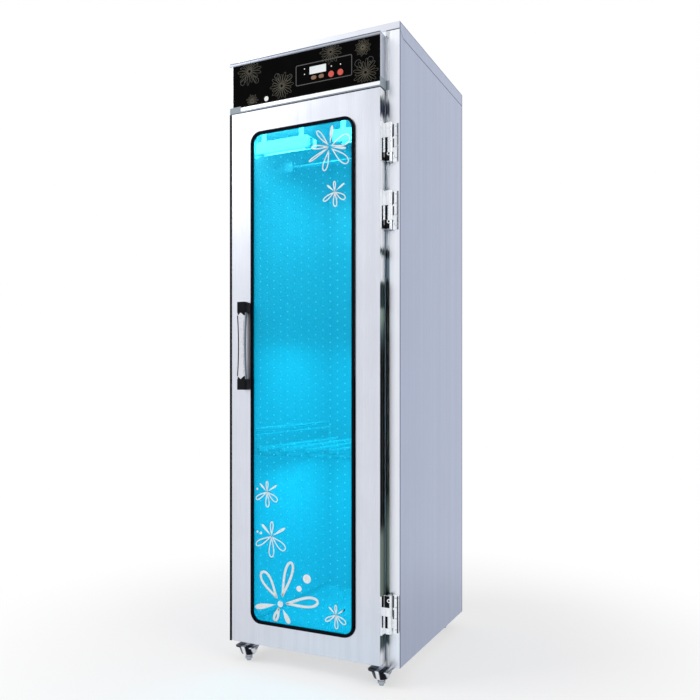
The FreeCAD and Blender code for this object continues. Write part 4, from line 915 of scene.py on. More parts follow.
@dataclass(frozen=True)
class LampGlass(Finish):
    """A lit lamp tube of clear glass."""

    name: str
    tint: Colour
    glow: float
    drift_scale: float = 18.0

    def mixed(self, shader: ShaderGraph) -> Socket:
        """Glow that drifts along the tube under a smooth glass skin.

        Args:
            shader: the material's nodes.

        Returns:
            The surface.
        """
        drift = shader.noise(shader.place(), self.drift_scale, 2.0)
        light = shader.mix(drift, toned(self.tint, 0.85), self.tint)
        return shader.principled({
            "Base Color": light,
            "Roughness": 0.12 + drift * 0.1,
            "Emission Color": light,
            "Emission Strength": self.glow,
        })


@dataclass(frozen=True)
class Ink(Finish):
    """Screen-printed ink, a little uneven in thickness."""

    name: str
    tint: Colour
    roughness: float = 0.4
    patch_scale: float = 380.0

    def mixed(self, shader: ShaderGraph) -> Socket:
        """Patchy cover in colour and gloss.

        Args:
            shader: the material's nodes.

        Returns:
            The surface.
        """
        patch = shader.noise(shader.place(), self.patch_scale, 4.0)
        cover = shader.remap(patch, 0.35, 0.65, 0.0, 1.0)
        return shader.principled({
            "Base Color": shader.mix(cover, toned(self.tint, 0.85), self.tint),
            "Roughness": self.roughness + (patch - 0.5) * 0.15,
            "Normal": shader.bump(patch, 0.00003, 0.4),
        })


@dataclass(frozen=True)
class BoardLaminate(Finish):
    """Green circuit board with copper runs under the lacquer."""

    name: str
    lacquer: Colour
    run: Colour
    run_scale: float = 260.0
    cloud_scale: float = 60.0

    def mixed(self, shader: ShaderGraph) -> Socket:
        """Runs between cell walls, raised a little, under a glossy lacquer.

        Args:
            shader: the material's nodes.

        Returns:
            The surface.
        """
        where = shader.place((1.0, 0.2, 1.0))
        wall = shader.cells(where, self.run_scale, "DISTANCE_TO_EDGE", 0.25)
        traces = shader.remap(wall, 0.03, 0.08, 1.0, 0.0)
        cloud = shader.noise(where, self.cloud_scale, 3.0)
        return shader.principled({
            "Base Color": shader.mix(traces, self.lacquer, self.run),
            "Roughness": 0.3 + cloud * 0.12,
            "Normal": shader.bump(traces, 0.00004, 0.6),
        })


# Tints of the steel, with the side faces' tint and the folds' tone painted as shade and the frame's tint
# painted lighter than the door's; tones of painted reflection and shade down the door's and frame's edges and
# of the trims' painted shade; and the colour of the lit chamber.
STEEL_TINT = (0.69, 0.715, 0.79)
FRAME_PAINTED_LIGHT_TINT = (0.85, 0.875, 0.945)
SIDE_SHADE_TINT = (0.40, 0.45, 0.595)
FOLD_SHADE_AND_SEAM_TINT = (0.15, 0.18, 0.27)
BLACK = (0.003, 0.004, 0.004)
MOSS = (0.15, 0.19, 0.16)
LICHEN = (0.20, 0.28, 0.24)
FIR = (0.016, 0.034, 0.034)
NAVY = (0.022, 0.026, 0.055)
STORM = (0.14, 0.20, 0.25)
SLATE = (0.055, 0.085, 0.09)
PALE = (0.78, 0.81, 0.85)
WHITE = (0.86, 0.88, 0.92)
LIP_SHADE_GREY = (0.22, 0.25, 0.30)
TOP_TRIM_SHADE_LEAD = (0.15, 0.17, 0.20)
TOP_TRIM_SHADE_PEWTER = (0.40, 0.42, 0.49)
TUBE_LIGHT = (0.02, 0.80, 1.0)

# The outer sheets carry painted shade on their side faces and along their folds.
OUTER = FoldedSheet("stainless_outer", FRAME_PAINTED_LIGHT_TINT, Grain.UPRIGHT, side=SIDE_SHADE_TINT, edge=FOLD_SHADE_AND_SEAM_TINT)
OUTER_TOP = FoldedSheet("stainless_cap", STEEL_TINT, Grain.ACROSS, side=SIDE_SHADE_TINT, edge=FOLD_SHADE_AND_SEAM_TINT)
DOOR_STEEL = BrushedSteel("stainless_door", STEEL_TINT, Grain.UPRIGHT, 0.3)
# The frame's steel is painted lighter than the door's, standing in for light where the proud door and the
# housing shade the frame.
FRAME_STEEL = BrushedSteel("stainless_frame", FRAME_PAINTED_LIGHT_TINT, Grain.UPRIGHT, 0.34)
LINER = BrushedSteel("stainless_liner", (0.74, 0.78, 0.83), Grain.UPRIGHT, 0.36, metallic=0.55)
SHELF_STEEL = Polished("shelf_steel", (0.88, 0.92, 0.94), 0.22, metallic=0.4)
CHROME = Polished("chrome", (0.86, 0.87, 0.89))
# Painted reflection: dark and bright upright bands round each foot's sleeve.
FOOT_REFLECTION_CHROME = PaintedReflectionChrome("foot_chrome_painted_reflection", 0.452, 0.034, (
    (0.0, (0.30, 0.32, 0.36)), (0.08, (0.03, 0.035, 0.045)), (0.38, (0.012, 0.014, 0.02)),
    (0.43, (0.75, 0.78, 0.84)), (0.55, (0.82, 0.85, 0.90)), (0.60, (0.012, 0.013, 0.02)),
    (0.80, (0.008, 0.009, 0.014)), (0.84, (0.70, 0.73, 0.80)), (0.90, (0.75, 0.78, 0.84)),
    (0.94, (0.16, 0.18, 0.22)), (1.0, (0.35, 0.37, 0.42))))
INSERT_CHROME = Polished("insert_chrome", (0.42, 0.45, 0.50), 0.08)
# The hinges' chrome carries dark upright streaks of painted reflection.
HINGE_CHROME = Polished("hinge_chrome", (0.90, 0.92, 0.95), 0.1, reflection_streak_tint=(0.25, 0.29, 0.36), reflection_streak_share=0.22)
# Painted shade on the panel's trims: grey lips, a grey upper trim, and a black band where the panel's edge
# shades the lower trim.
TRIM = ShadedTrim("bright_trim", 1.70, 1.87, (
    (0.0, LIP_SHADE_GREY), (0.062, LIP_SHADE_GREY), (0.072, WHITE), (0.125, WHITE), (0.130, BLACK), (0.86, BLACK), (0.898, BLACK),
    (0.903, TOP_TRIM_SHADE_LEAD), (0.916, TOP_TRIM_SHADE_LEAD), (0.921, TOP_TRIM_SHADE_PEWTER), (0.944, TOP_TRIM_SHADE_PEWTER), (0.949, TOP_TRIM_SHADE_LEAD), (1.0, TOP_TRIM_SHADE_LEAD)))
HANDLE_CHROME = Polished("handle_chrome", (0.70, 0.71, 0.77), 0.14)
SCREW = Polished("screw_steel", (0.62, 0.63, 0.66), 0.24)
ZINC = ZincPlate("zinc_steel", (0.70, 0.71, 0.73), 90.0)
GALVANISED = ZincPlate("galvanised_duct", (0.66, 0.68, 0.71), 55.0)
SMOOTH = {"skin": 0.00001, "skin_scale": 900.0}
ENAMEL = Moulded("white_enamel", (0.86, 0.87, 0.86), 0.24, skin=0.00012, skin_scale=420.0, coat=0.4)
# Painted light: the hoods glow as if lit by the tubes under them.
HOOD_PAINTED_GLOW = PaintedGlowEnamel("hood_enamel_painted_glow", (0.92, 0.96, 0.97), 6.4)
PANEL_BLACK = Moulded("black_panel", (0.0012, 0.0012, 0.0012), 0.10, specular=0.02, fade=0.0008, **SMOOTH)
BLACK_PLASTIC = Moulded("black_plastic", (0.0035, 0.004, 0.006), 0.36, specular=0.08, fade=0.003)
GREY_PLASTIC = Moulded("grey_plastic", (0.24, 0.29, 0.33), 0.38)
WHITE_PLASTIC = Moulded("white_plastic", (0.82, 0.83, 0.82), 0.36)
DISPLAY = Moulded("display_lens", (0.80, 0.84, 0.86), 0.14, coat=0.8, **SMOOTH)
LENS = Moulded("indicator_lens", (0.88, 0.88, 0.86), 0.12, coat=0.8, **SMOOTH)
RED = Moulded("red_button", (0.60, 0.045, 0.02), 0.22, skin=0.00002, skin_scale=900.0, coat=0.7)
GOLD_BUTTON = Moulded("gold_button", (0.19, 0.080, 0.032), 0.3, skin=0.00002, skin_scale=900.0, coat=0.5)
# Painted shade at the hinges' steps and the lowest leaf's edge; it also colours the dark corner screws and the
# cap's dark seam.
PAINTED_SHADE_AND_DARK_PARTS = Moulded("painted_shade_and_dark_parts", (0.035, 0.05, 0.07), 0.3)
RUBBER = Rubber("black_rubber", (0.0015, 0.002, 0.005))
GASKET = Rubber("gasket_rubber", (0.10, 0.105, 0.11))
GLASS = TintedGlass("tinted_glass", (0.0, 0.56, 0.84), (0.27, 0.92, 0.97), 0.36)
LAMP = LampGlass("lamp_glass", (0.80, 0.93, 1.0), 3.0)
WHITE_INK = Ink("white_ink", (0.80, 0.84, 0.86))
DOT_INK = Ink("dot_ink", (0.04, 0.66, 0.96))
GOLD_INK = Ink("gold_ink", (0.070, 0.061, 0.036), 0.5)
LINE_INK = Ink("line_ink", (0.046, 0.047, 0.046), 0.5)
DARK_CARD = Moulded("dark_card", (0.12, 0.15, 0.18), 0.8)
GRIP_SHADE = Moulded("grip_shade", (0.21, 0.22, 0.25), 0.3)
# Painted sheen on the upper handle block's front.
BLOCK_PAINTED_SHEEN = Moulded("block_sheen", (0.075, 0.095, 0.14), 0.25)
BOARD = BoardLaminate("circuit_board", (0.01, 0.10, 0.04), (0.10, 0.24, 0.06))
# Painted reflection down the door's hinge-side edge.
DOOR_EDGE_REFLECTION = ShadeAndReflectionBand("door_edge_painted_reflection", (
    (0.052, PALE), (0.058, SLATE), (0.085, SLATE), (0.14, MOSS), (0.225, MOSS), (0.245, BLACK), (0.50, BLACK),
    (0.53, SLATE), (0.552, LICHEN), (0.567, LICHEN), (0.570, FIR), (0.605, FIR), (0.608, PALE), (0.645, PALE),
    (0.647, SLATE), (0.6585, SLATE), (0.6605, PALE), (0.853, PALE), (0.857, NAVY), (0.868, NAVY),
    (0.881, SLATE), (0.887, PALE), (0.90, PALE)), ribs=(-0.2905,), along="Y")
# Painted shade and reflection down the frame beside the door.
FRAME_EDGE_SHADE_AND_REFLECTION = ShadeAndReflectionBand("frame_edge_painted_shade_and_reflection", (
    (0.035, PALE), (0.058, PALE), (0.062, SLATE), (0.078, SLATE), (0.080, BLACK), (0.14, BLACK), (0.15, MOSS),
    (0.24, MOSS), (0.29, BLACK), (0.611, BLACK), (0.613, STORM), (0.643, STORM), (0.645, BLACK), (0.657, BLACK),
    (0.661, PALE), (0.685, PALE), (0.69, BLACK), (0.742, BLACK), (0.75, PALE), (0.786, PALE), (0.79, BLACK),
    (0.845, BLACK), (0.848, PALE), (0.857, PALE), (0.861, NAVY), (0.878, NAVY), (0.884, PALE), (0.90, PALE)),
    ribs=(0.2355, 0.2405, 0.2445), along="X")

# --------------------------------------------------------------------------------------------------
# Shapes grown by rule
# --------------------------------------------------------------------------------------------------


@dataclass
class SweptRing:
    """A profile carried round a rounded upright rectangle, such as a seal.

    The profile's points are (outwards from the path, towards the front), in metres.
    """

    name: str
    low: Spot
    high: Spot
    depth: float
    corner: float
    profile: Sequence[Span]
    finish: Finish
    facets: int = 10

    def build(self) -> bpy.types.Object:
        """Sweeps the profile and stands the ring up in the door's plane.

        Returns:
            The piece.
        """
        graph = GeometryGraph(self.name, {
            "Width": self.high[0] - self.low[0], "Height": self.high[1] - self.low[1],
            "Corner": self.corner, "Facets": self.facets})
        path = graph.node("GeometryNodeCurvePrimitiveQuadrilateral", {"mode": "RECTANGLE"}, {
            "Width": graph.size("Width"), "Height": graph.size("Height")})
        round_path = graph.node("GeometryNodeFilletCurve", {"mode": "POLY"}, {
            "Curve": path, "Count": graph.size("Facets"), "Radius": graph.size("Corner")})
        ring = graph.node("GeometryNodeCurveToMesh", None, {
            "Curve": round_path, "Profile Curve": graph.seed_lines()})
        stood = graph.move(ring, middle(self.low, self.high, self.depth), STAND_UP)
        count = len(self.profile)
        edges = [(item, (item + 1) % count) for item in range(count)]
        seed = plain_mesh("profile", [(out, rise, 0.0) for out, rise in self.profile], edges)
        piece = graph.grow(self.name, seed, stood, self.finish)
        smooth(piece, 35.0)
        return piece


@dataclass
class ScrewSet:
    """Pan-head screws with a cross recess, each turned at random about the way that they face.

    The rim, the crown and the slot are shares of the radius, and the wall is one of the height.
    """

    name: str
    places: Sequence[Point]
    facing: Point
    radius: float = 0.0026
    height: float = 0.0012
    finish: Finish = SCREW
    rim: float = 0.93
    crown: float = 0.55
    wall: float = 0.55
    slot: float = 0.26
    facets: int = 20
    draw: int = 5

    def build(self) -> bpy.types.Object:
        """Sets a head on each place, with its back in the sheet.

        Returns:
            The piece.
        """
        graph = GeometryGraph(self.name, {
            "Radius": self.radius, "Height": self.height, "Facets": self.facets})
        radius, height = graph.size("Radius"), graph.size("Height")
        rings = (radius, radius * self.rim, radius * self.crown)
        parts = []
        for below, above, share in zip(rings, rings[1:], (self.wall, 1.0 - self.wall)):
            cone = graph.node("GeometryNodeMeshCone", None, {
                "Vertices": graph.size("Facets"), "Radius Top": above, "Radius Bottom": below,
                "Depth": height * share})
            parts.append(graph.move(cone, graph.vector(z=height * self.wall)) if parts else cone)
        arms = []
        for wide, tall in ((1.0, self.slot), (self.slot, 1.0)):
            size = graph.vector(radius * wide, radius * tall, height * 0.9)
            arms.append(graph.node("GeometryNodeMeshCube", None, {"Size": size}))
        cross = graph.move(graph.join(arms), graph.vector(z=height * 0.95))
        head = graph.node("GeometryNodeMeshBoolean", {"operation": "DIFFERENCE"}, {
            "Mesh 1": graph.join(parts), "Mesh 2": cross})
        turn = graph.node("FunctionNodeAlignRotationToVector", {"axis": "Z"},
                          {"Vector": graph.attribute("face", "FLOAT_VECTOR")})
        span = {2: 0.0, 3: 3.1, "Seed": self.draw}
        spin = graph.node("FunctionNodeRandomValue", {"data_type": "FLOAT"}, span, 1)
        spun = graph.node("FunctionNodeRotateRotation", {"rotation_space": "LOCAL"}, {
            "Rotation": turn, "Rotate By": graph.node("FunctionNodeEulerToRotation", None, {
                "Euler": graph.vector(z=spin)})})
        heads = graph.set_out(head, {"Rotation": spun})
        seed = plain_mesh("places", self.places)
        tag_points(seed, "face", [self.facing] * len(self.places))
        piece = graph.grow(self.name, seed, heads, self.finish)
        smooth(piece, 30.0)
        return piece


@dataclass(frozen=True)
class Petal:
    """One petal, by its turn in degrees, its tip's distance, its width as a share of that, and its root's."""

    turn: float
    reach: float
    breadth: float
    start: float = 0.0
    solid: bool = False


@dataclass(frozen=True)
class Flower:
    """One printed flower: its centre, across and up, and its petals."""

    centre: Spot
    petals: Sequence[Petal]

    SHORTER = 0.16
    SHORTEST = 0.35
    SLIM = 0.13

    @classmethod
    def daisy(cls, centre: Spot, reach: float, count: int, low: Spot, high: Spot, start: float) -> "Flower":
        """Narrow petals all round, drawn shorter where the panel's edge is near.

        Args:
            centre: across and up.
            reach: a petal's length.
            count: how many petals there are.
            low: the panel's lower left corner.
            high: its upper right corner.
            start: the first petal's turn in degrees.

        Returns:
            The flower.
        """
        petals = []
        for item in range(count):
            turn = start + 360.0 * item / count
            way = (math.cos(math.radians(turn)), math.sin(math.radians(turn)))
            room = min(((high if way[side] > 0 else low)[side] - centre[side]) / way[side]
                       for side in (0, 1) if abs(way[side]) > 0.01)
            long = min(reach * (1.0 - cls.SHORTER * (item % 2)), room)
            if long > cls.SHORTEST * reach:
                petals.append(Petal(turn, long, cls.SLIM, 0.1 * reach))
        return cls(centre, petals)

    @classmethod
    def blossom(cls, centre: Spot, reach: float, lean: float = 0.0) -> "Flower":
        """Six petals: three open ones below, two full ones and a small open one above.

        Args:
            centre: across and up.
            reach: the lowest petal's length.
            lean: a turn of the whole flower in degrees.

        Returns:
            The flower.
        """
        form = ((-90.0, 1.0, 0.19, False), (209.0, 1.0, 0.18, False), (-38.0, 0.95, 0.25, False),
                (31.0, 0.9, 0.11, True), (135.0, 0.78, 0.13, True), (88.0, 0.70, 0.15, False))
        return cls(centre, [Petal(turn + lean, share * reach, breadth, 0.05 * reach, solid)
                            for turn, share, breadth, solid in form])


@dataclass
class PetalPrint:
    """The open petals of some flowers, or their full ones, printed on an upright face."""

    name: str
    flowers: Sequence[Flower]
    depth: float
    line: float
    solid: bool
    finish: Finish
    swell: float = 0.9
    thickness: float = SKIN
    facets: int = 26
    line_facets: int = 6

    def build(self) -> bpy.types.Object:
        """Bends a petal from a circle, sets one at each turn and prints its outline or its area.

        Returns:
            The piece.
        """
        graph = GeometryGraph(self.name, {
            "Line": self.line, "Swell": self.swell, "Thickness": self.thickness, "Facets": self.facets})
        circle = graph.node("GeometryNodeCurvePrimitiveCircle", {"mode": "RADIUS"}, {
            "Resolution": graph.size("Facets"), "Radius": 1.0})
        place = graph.node("ShaderNodeSeparateXYZ", None, {0: graph.node("GeometryNodeInputPosition")})
        along = (1.0 - place.other("X")) * 0.5
        drawn = graph.node("GeometryNodeSetCurveRadius", None, {
            "Curve": circle, "Radius": 1.0 + (along - 0.5) * graph.size("Swell")})
        shaped = graph.vector(along, place.other("Y") * along ** 0.8)
        petal = graph.node("GeometryNodeSetPosition", None, {"Geometry": drawn, "Position": shaped})
        petals = graph.set_out(petal, {
            "Rotation": graph.vector(z=graph.attribute("turn")),
            "Scale": graph.vector(graph.attribute("reach"), graph.attribute("broad"), 1.0)})
        curves = graph.node("GeometryNodeRealizeInstances", None, {"Geometry": petals})
        if self.solid:
            area = graph.node("GeometryNodeFillCurve", {"mode": "NGONS"}, {"Curve": curves})
            raised = graph.node("GeometryNodeExtrudeMesh", {"mode": "FACES"}, {
                "Mesh": area, "Offset Scale": graph.size("Thickness"), "Individual": False})
            back = graph.node("GeometryNodeFlipFaces", None, {"Mesh": area})
            ink = graph.node("GeometryNodeMergeByDistance", None, {"Geometry": graph.join((raised, back))})
        else:
            section = graph.node("GeometryNodeCurvePrimitiveCircle", {"mode": "RADIUS"}, {
                "Resolution": self.line_facets, "Radius": graph.size("Line") * 0.5})
            loops = graph.node("GeometryNodeCurveToMesh", None, {"Curve": curves, "Profile Curve": section})
            flat = graph.vector(1.0, 1.0, graph.size("Thickness") * 2.0 / graph.size("Line"))
            ink = graph.move(loops, scale=flat)
        stood = graph.move(ink, (0.0, self.depth, 0.0), STAND_UP)
        spots = [(flower.centre, petal) for flower in self.flowers for petal in flower.petals
                 if petal.solid == self.solid]
        feet = [(centre[0] + petal.start * math.cos(turn), centre[1] + petal.start * math.sin(turn), 0.0)
                for (centre, petal), turn in ((spot, math.radians(spot[1].turn)) for spot in spots)]
        seed = plain_mesh("spots", feet)
        tag_points(seed, "turn", [math.radians(petal.turn) for _, petal in spots])
        tag_points(seed, "reach", [petal.reach - petal.start for _, petal in spots])
        tag_points(seed, "broad", [petal.reach * petal.breadth for _, petal in spots])
        return graph.grow(self.name, seed, stood, self.finish)


@dataclass
class DotPrint:
    """Round dots on an upright face, each given by its place across and up and by its radius."""

    name: str
    dots: Sequence[Point]
    depth: float
    finish: Finish
    facets: int = 20
    thickness: float = SKIN

    def build(self) -> bpy.types.Object:
        """Sets a flat disc of its own radius on each place.

        Returns:
            The piece.
        """
        graph = GeometryGraph(self.name, {"Thickness": self.thickness, "Facets": self.facets})
        disc = graph.node("GeometryNodeMeshCylinder", None, {
            "Vertices": graph.size("Facets"), "Radius": 1.0, "Depth": graph.size("Thickness")})
        reach = graph.attribute("reach")
        discs = graph.set_out(disc, {"Scale": graph.vector(reach, reach, 1.0)})
        stood = graph.move(discs, (0.0, self.depth, 0.0), STAND_UP)
        seed = plain_mesh("dots", [(across, up, 0.0) for across, up, _ in self.dots])
        tag_points(seed, "reach", [radius for _, _, radius in self.dots])
        return graph.grow(self.name, seed, stood, self.finish)


@dataclass
class StaggeredDots:
    """A field of fine dots in columns, every other column set down by half a pitch."""

    name: str
    low: Spot
    high: Spot
    depth: float
    finish: Finish
    pitch: float = 0.024
    radius: float = 0.0018
    thickness: float = SKIN
    facets: int = 8

    def build(self) -> bpy.types.Object:
        """Lays out the columns and sets a flat dot on each point.

        Returns:
            The piece.
        """
        wide, tall = self.high[0] - self.low[0], self.high[1] - self.low[1]
        across, up = int(wide / self.pitch), int(tall / self.pitch)
        graph = GeometryGraph(self.name, {
            "Pitch": self.pitch, "Columns": across, "Rows": up, "Radius": self.radius,
            "Thickness": self.thickness})
        pitch, rows = graph.size("Pitch"), graph.size("Rows")
        grid = graph.node("GeometryNodeMeshGrid", None, {
            "Size X": pitch * (graph.size("Columns") - 1.0), "Size Y": pitch * (rows - 1.0),
            "Vertices X": graph.size("Columns"), "Vertices Y": rows})
        index = graph.node("GeometryNodeInputIndex")
        column = graph.node("ShaderNodeMath", {"operation": "FLOOR"}, {0: (index + 0.5) / rows})
        drop = (column % 2.0) * pitch * 0.5
        shifted = graph.node("GeometryNodeSetPosition", None, {
            "Geometry": grid, "Offset": graph.vector(y=pitch * 0.25 - drop)})
        disc = graph.node("GeometryNodeMeshCylinder", None, {
            "Vertices": self.facets, "Radius": graph.size("Radius"), "Depth": graph.size("Thickness")})
        discs = graph.node("GeometryNodeInstanceOnPoints", None, {"Points": shifted, "Instance": disc})
        stood = graph.move(discs, middle(self.low, self.high, self.depth), STAND_UP)
        return graph.grow(self.name, plain_mesh("field", [(0.0, 0.0, 0.0)]), stood, self.finish)


@dataclass
class Strips:
    """Flat edging in several runs, each closed at its ends.

    The size is its width across the face and its thickness for a plumb run, and the other way round for others.
    """

    name: str
    runs: Sequence[Sequence[Point]]
    size: Span
    finish: Finish

    def build(self) -> bpy.types.Object:
        """Sweeps a flat bar along each run.

        Returns:
            The piece.
        """
        graph = GeometryGraph(self.name, {"Width": self.size[0], "Thickness": self.size[1]})
        bar = graph.node("GeometryNodeCurvePrimitiveQuadrilateral", {"mode": "RECTANGLE"}, {
            "Width": graph.size("Width"), "Height": graph.size("Thickness")})
        strips = graph.node("GeometryNodeCurveToMesh", None, {
            "Curve": graph.seed_lines(), "Profile Curve": bar, "Fill Caps": True})
        points: list[Point] = []
        edges: list[tuple[int, int]] = []
        for run in self.runs:
            first = len(points)
            points.extend(run)
            edges.extend((item, item + 1) for item in range(first, len(points) - 1))
        return graph.grow(self.name, plain_mesh("runs", points, edges), strips, self.finish)

    @classmethod
    def upright(cls, name: str, across: float, depth: float, runs: Sequence[Span],
                size: Span, finish: Finish) -> "Strips":
        """Upright runs, each from one height to another, at one place across and in depth."""
        return cls(name, [((across, depth, low), (across, depth, high)) for low, high in runs], size, finish)

    @classmethod
    def level(cls, name: str, ends: Span, depth: float, height: float,
              size: Span, finish: Finish) -> "Strips":
        """One level run between two places across, at one depth and height."""
        return cls(name, [[(end, depth, height) for end in ends]], size, finish)


# --------------------------------------------------------------------------------------------------
# Sub-assemblies
# --------------------------------------------------------------------------------------------------


@dataclass
class Assembly:
    """A sub-assembly: the frame nodes that it dresses and the pieces that it adds to one body."""

    body: str = "cabinet"
    coats: Mapping[str, Finish] = field(default_factory=dict)

    def dress(self) -> None:
        """Puts each node's finish in its material slots."""
        for name, finish in self.coats.items():
            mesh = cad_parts[name].data
            mesh.materials.clear()
            mesh.materials.append(finish.material())
            LOG.info("%s: %s finished in %s", type(self).__name__, name, finish.name)

    def pieces(self) -> Iterable[bpy.types.Object]:
        """The pieces that the sub-assembly adds, none unless it says so."""
        return ()

    def build(self) -> None:
        """Dresses the nodes and sets each new piece on its body."""
        self.dress()
        for piece in self.pieces():
            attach(piece, self.body)
            LOG.info("%s: %s made, %d faces", type(self).__name__, piece.name, len(piece.data.polygons))


@dataclass
class Carcass(Assembly):
    """The outer steel: front frame, folded sides, top cap, back sheet and base pan."""

    coats: Mapping[str, Finish] = field(default_factory=lambda: {
        "front_frame": FRAME_STEEL, "side_panel_left": OUTER, "side_panel_right": OUTER, "top_cap": OUTER_TOP,
        "back_panel": ZINC, "base_pan": ZINC, "wall_spacers": ZINC, "cable_gland": BLACK_PLASTIC,
    })
    screw_columns: Sequence[float] = (-0.262, 0.0, 0.262)
    screw_rows: Sequence[float] = (0.09, 0.43, 0.77, 1.11, 1.45, 1.79)
    back_head: Span = (0.0040, 0.0018)
    strip_across: float = 0.2400
    strip_run: Span = (0.052, 1.878)
    strip: Span = (0.0118, 0.0004)
    tail_across: float = 0.2405
    tail_run: Span = (1.7085, 1.7350)
    tail: Span = (0.0110, 0.0006)
    corner_screws: Sequence[Spot] = ((0.2372, 1.8625), (0.2418, 1.8568))
    corner_head: Span = (0.0031, 0.0010)
    seam_ends: Span = (0.2350, 0.2772)
    seam_height: float = 1.8790
    seam: Span = (0.0003, 0.0028)

    def pieces(self) -> Iterable[bpy.types.Object]:
        """The back sheet's screws, a strip of painted shade and reflection down the frame, the trim's end, two
        screws and the cap's seam.

        Returns:
            Each piece as it is made.
        """
        edge = [(across, BACK, up) for across in self.screw_columns for up in self.screw_rows
                if across or up in (self.screw_rows[0], self.screw_rows[-1])]
        yield ScrewSet("back_screws", edge, BACKWARDS, *self.back_head).build()
        face = FRAME_FRONT - self.strip[1]
        # A strip of painted shade and reflection down the frame beside the door.
        yield Strips.upright("frame_edging", self.strip_across, FRAME_FRONT - self.strip[1] / 2,
                             (self.strip_run,), self.strip, FRAME_EDGE_SHADE_AND_REFLECTION).build()
        yield Strips.upright("end_block_tail", self.tail_across, face - self.tail[1] / 2, (self.tail_run,),
                             self.tail, GREY_PLASTIC).build()
        near = [(across, face, up) for across, up in self.corner_screws]
        yield ScrewSet("corner_screws", near, FORWARDS, *self.corner_head, PAINTED_SHADE_AND_DARK_PARTS).build()
        yield Strips.level("cap_seam", self.seam_ends, FRAME_FRONT - SKIN, self.seam_height, self.seam,
                           PAINTED_SHADE_AND_DARK_PARTS).build()


@dataclass
class Chamber(Assembly):
    """The lit inside: liners, tray, shelf, rod and the lamps under their hoods."""

    coats: Mapping[str, Finish] = field(default_factory=lambda: {
        "liner_back": LINER, "liner_left": LINER, "liner_right": LINER, "liner_floor": LINER,
        "liner_ceiling": LINER, "drip_tray": LINER, "shelf_supports": LINER, "shelf_frame": SHELF_STEEL,
        "shelf_tubes": SHELF_STEEL, "shelf_tube_caps": WHITE_PLASTIC, "hanger_rod": CHROME,
        "rod_brackets": CHROME, "lamp_hoods": HOOD_PAINTED_GLOW, "lamp_sockets": WHITE_PLASTIC, "uv_lamp_tubes": LAMP,
        "temperature_probe": CHROME,
    })


@dataclass
class AirUnit(Assembly):
    """The fan, heater and supplies above the chamber."""

    coats: Mapping[str, Finish] = field(default_factory=lambda: {
        "air_duct": GALVANISED, "fan_frame": BLACK_PLASTIC, "fan_impeller": BLACK_PLASTIC,
        "fan_guard": CHROME, "heater_element": ZINC, "lamp_ballast": ENAMEL, "power_supply": GALVANISED,
    })


@dataclass
class ControlPanel(Assembly):
    """The black panel with its display, lamps and buttons, in its steel housing."""

    coats: Mapping[str, Finish] = field(default_factory=lambda: {
        "control_housing": DOOR_STEEL, "control_overlay": PANEL_BLACK, "control_board": BOARD,
        "panel_trims": TRIM, "panel_end_caps": GREY_PLASTIC, "display_window": DISPLAY,
        "indicator_lenses": LENS, "button_round_one": RED, "button_round_two": RED,
        "button_oval_one": GOLD_BUTTON, "button_oval_two": GOLD_BUTTON, "door_switch": BLACK_PLASTIC,
    })
    face: float = DOOR_FRONT
    low: Spot = (-0.2645, 1.7275)
    high: Spot = (0.2325, 1.8515)
    daisies: Sequence[tuple[Spot, float, int, float]] = (
        ((-0.2057, 1.8297), 0.043, 17, 8.0), ((-0.0898, 1.7644), 0.041, 20, 0.0),
        ((0.0762, 1.8342), 0.036, 17, 6.0), ((0.1798, 1.8267), 0.025, 20, 10.0),
        ((0.1886, 1.7535), 0.040, 18, 4.0), ((-0.1955, 1.7353), 0.022, 14, 4.0))
    loops: Sequence[Flower] = (
        Flower((0.1886, 1.7535), [Petal(128.0, 0.048, 0.30, 0.020), Petal(66.0, 0.046, 0.26, 0.020)]),
        Flower((-0.0898, 1.7644), [Petal(118.0, 0.044, 0.24, 0.018), Petal(38.0, 0.044, 0.24, 0.018)]),
        Flower((-0.2057, 1.8297), [Petal(-52.0, 0.050, 0.22, 0.020), Petal(-128.0, 0.048, 0.22, 0.020)]))
    daisy_line: float = 0.0009
    loop_line: float = 0.0012
    outline_low: Spot = (-0.0385, 1.7555)
    outline_high: Spot = (0.1435, 1.8125)
    outline_corner: float = 0.003
    outline: Span = (0.0024, 0.0002)

    def pieces(self) -> Iterable[bpy.types.Object]:
        """Gold daisies in line, wider petals round three of them, and the thin outline round the controls.

        Returns:
            Each piece as it is made.
        """
        daisies = [Flower.daisy(centre, reach, count, self.low, self.high, start)
                   for centre, reach, count, start in self.daisies]
        yield PetalPrint("panel_loops", self.loops, self.face, self.loop_line, False, LINE_INK).build()
        yield PetalPrint("panel_daisies", daisies, self.face, self.daisy_line, False, GOLD_INK).build()
        wide, thick = self.outline
        line = ((0.0, -thick), (wide, -thick), (wide, thick), (0.0, thick))
        yield SweptRing("panel_outline", self.outline_low, self.outline_high, self.face, self.outline_corner,
                        line, LINE_INK).build()


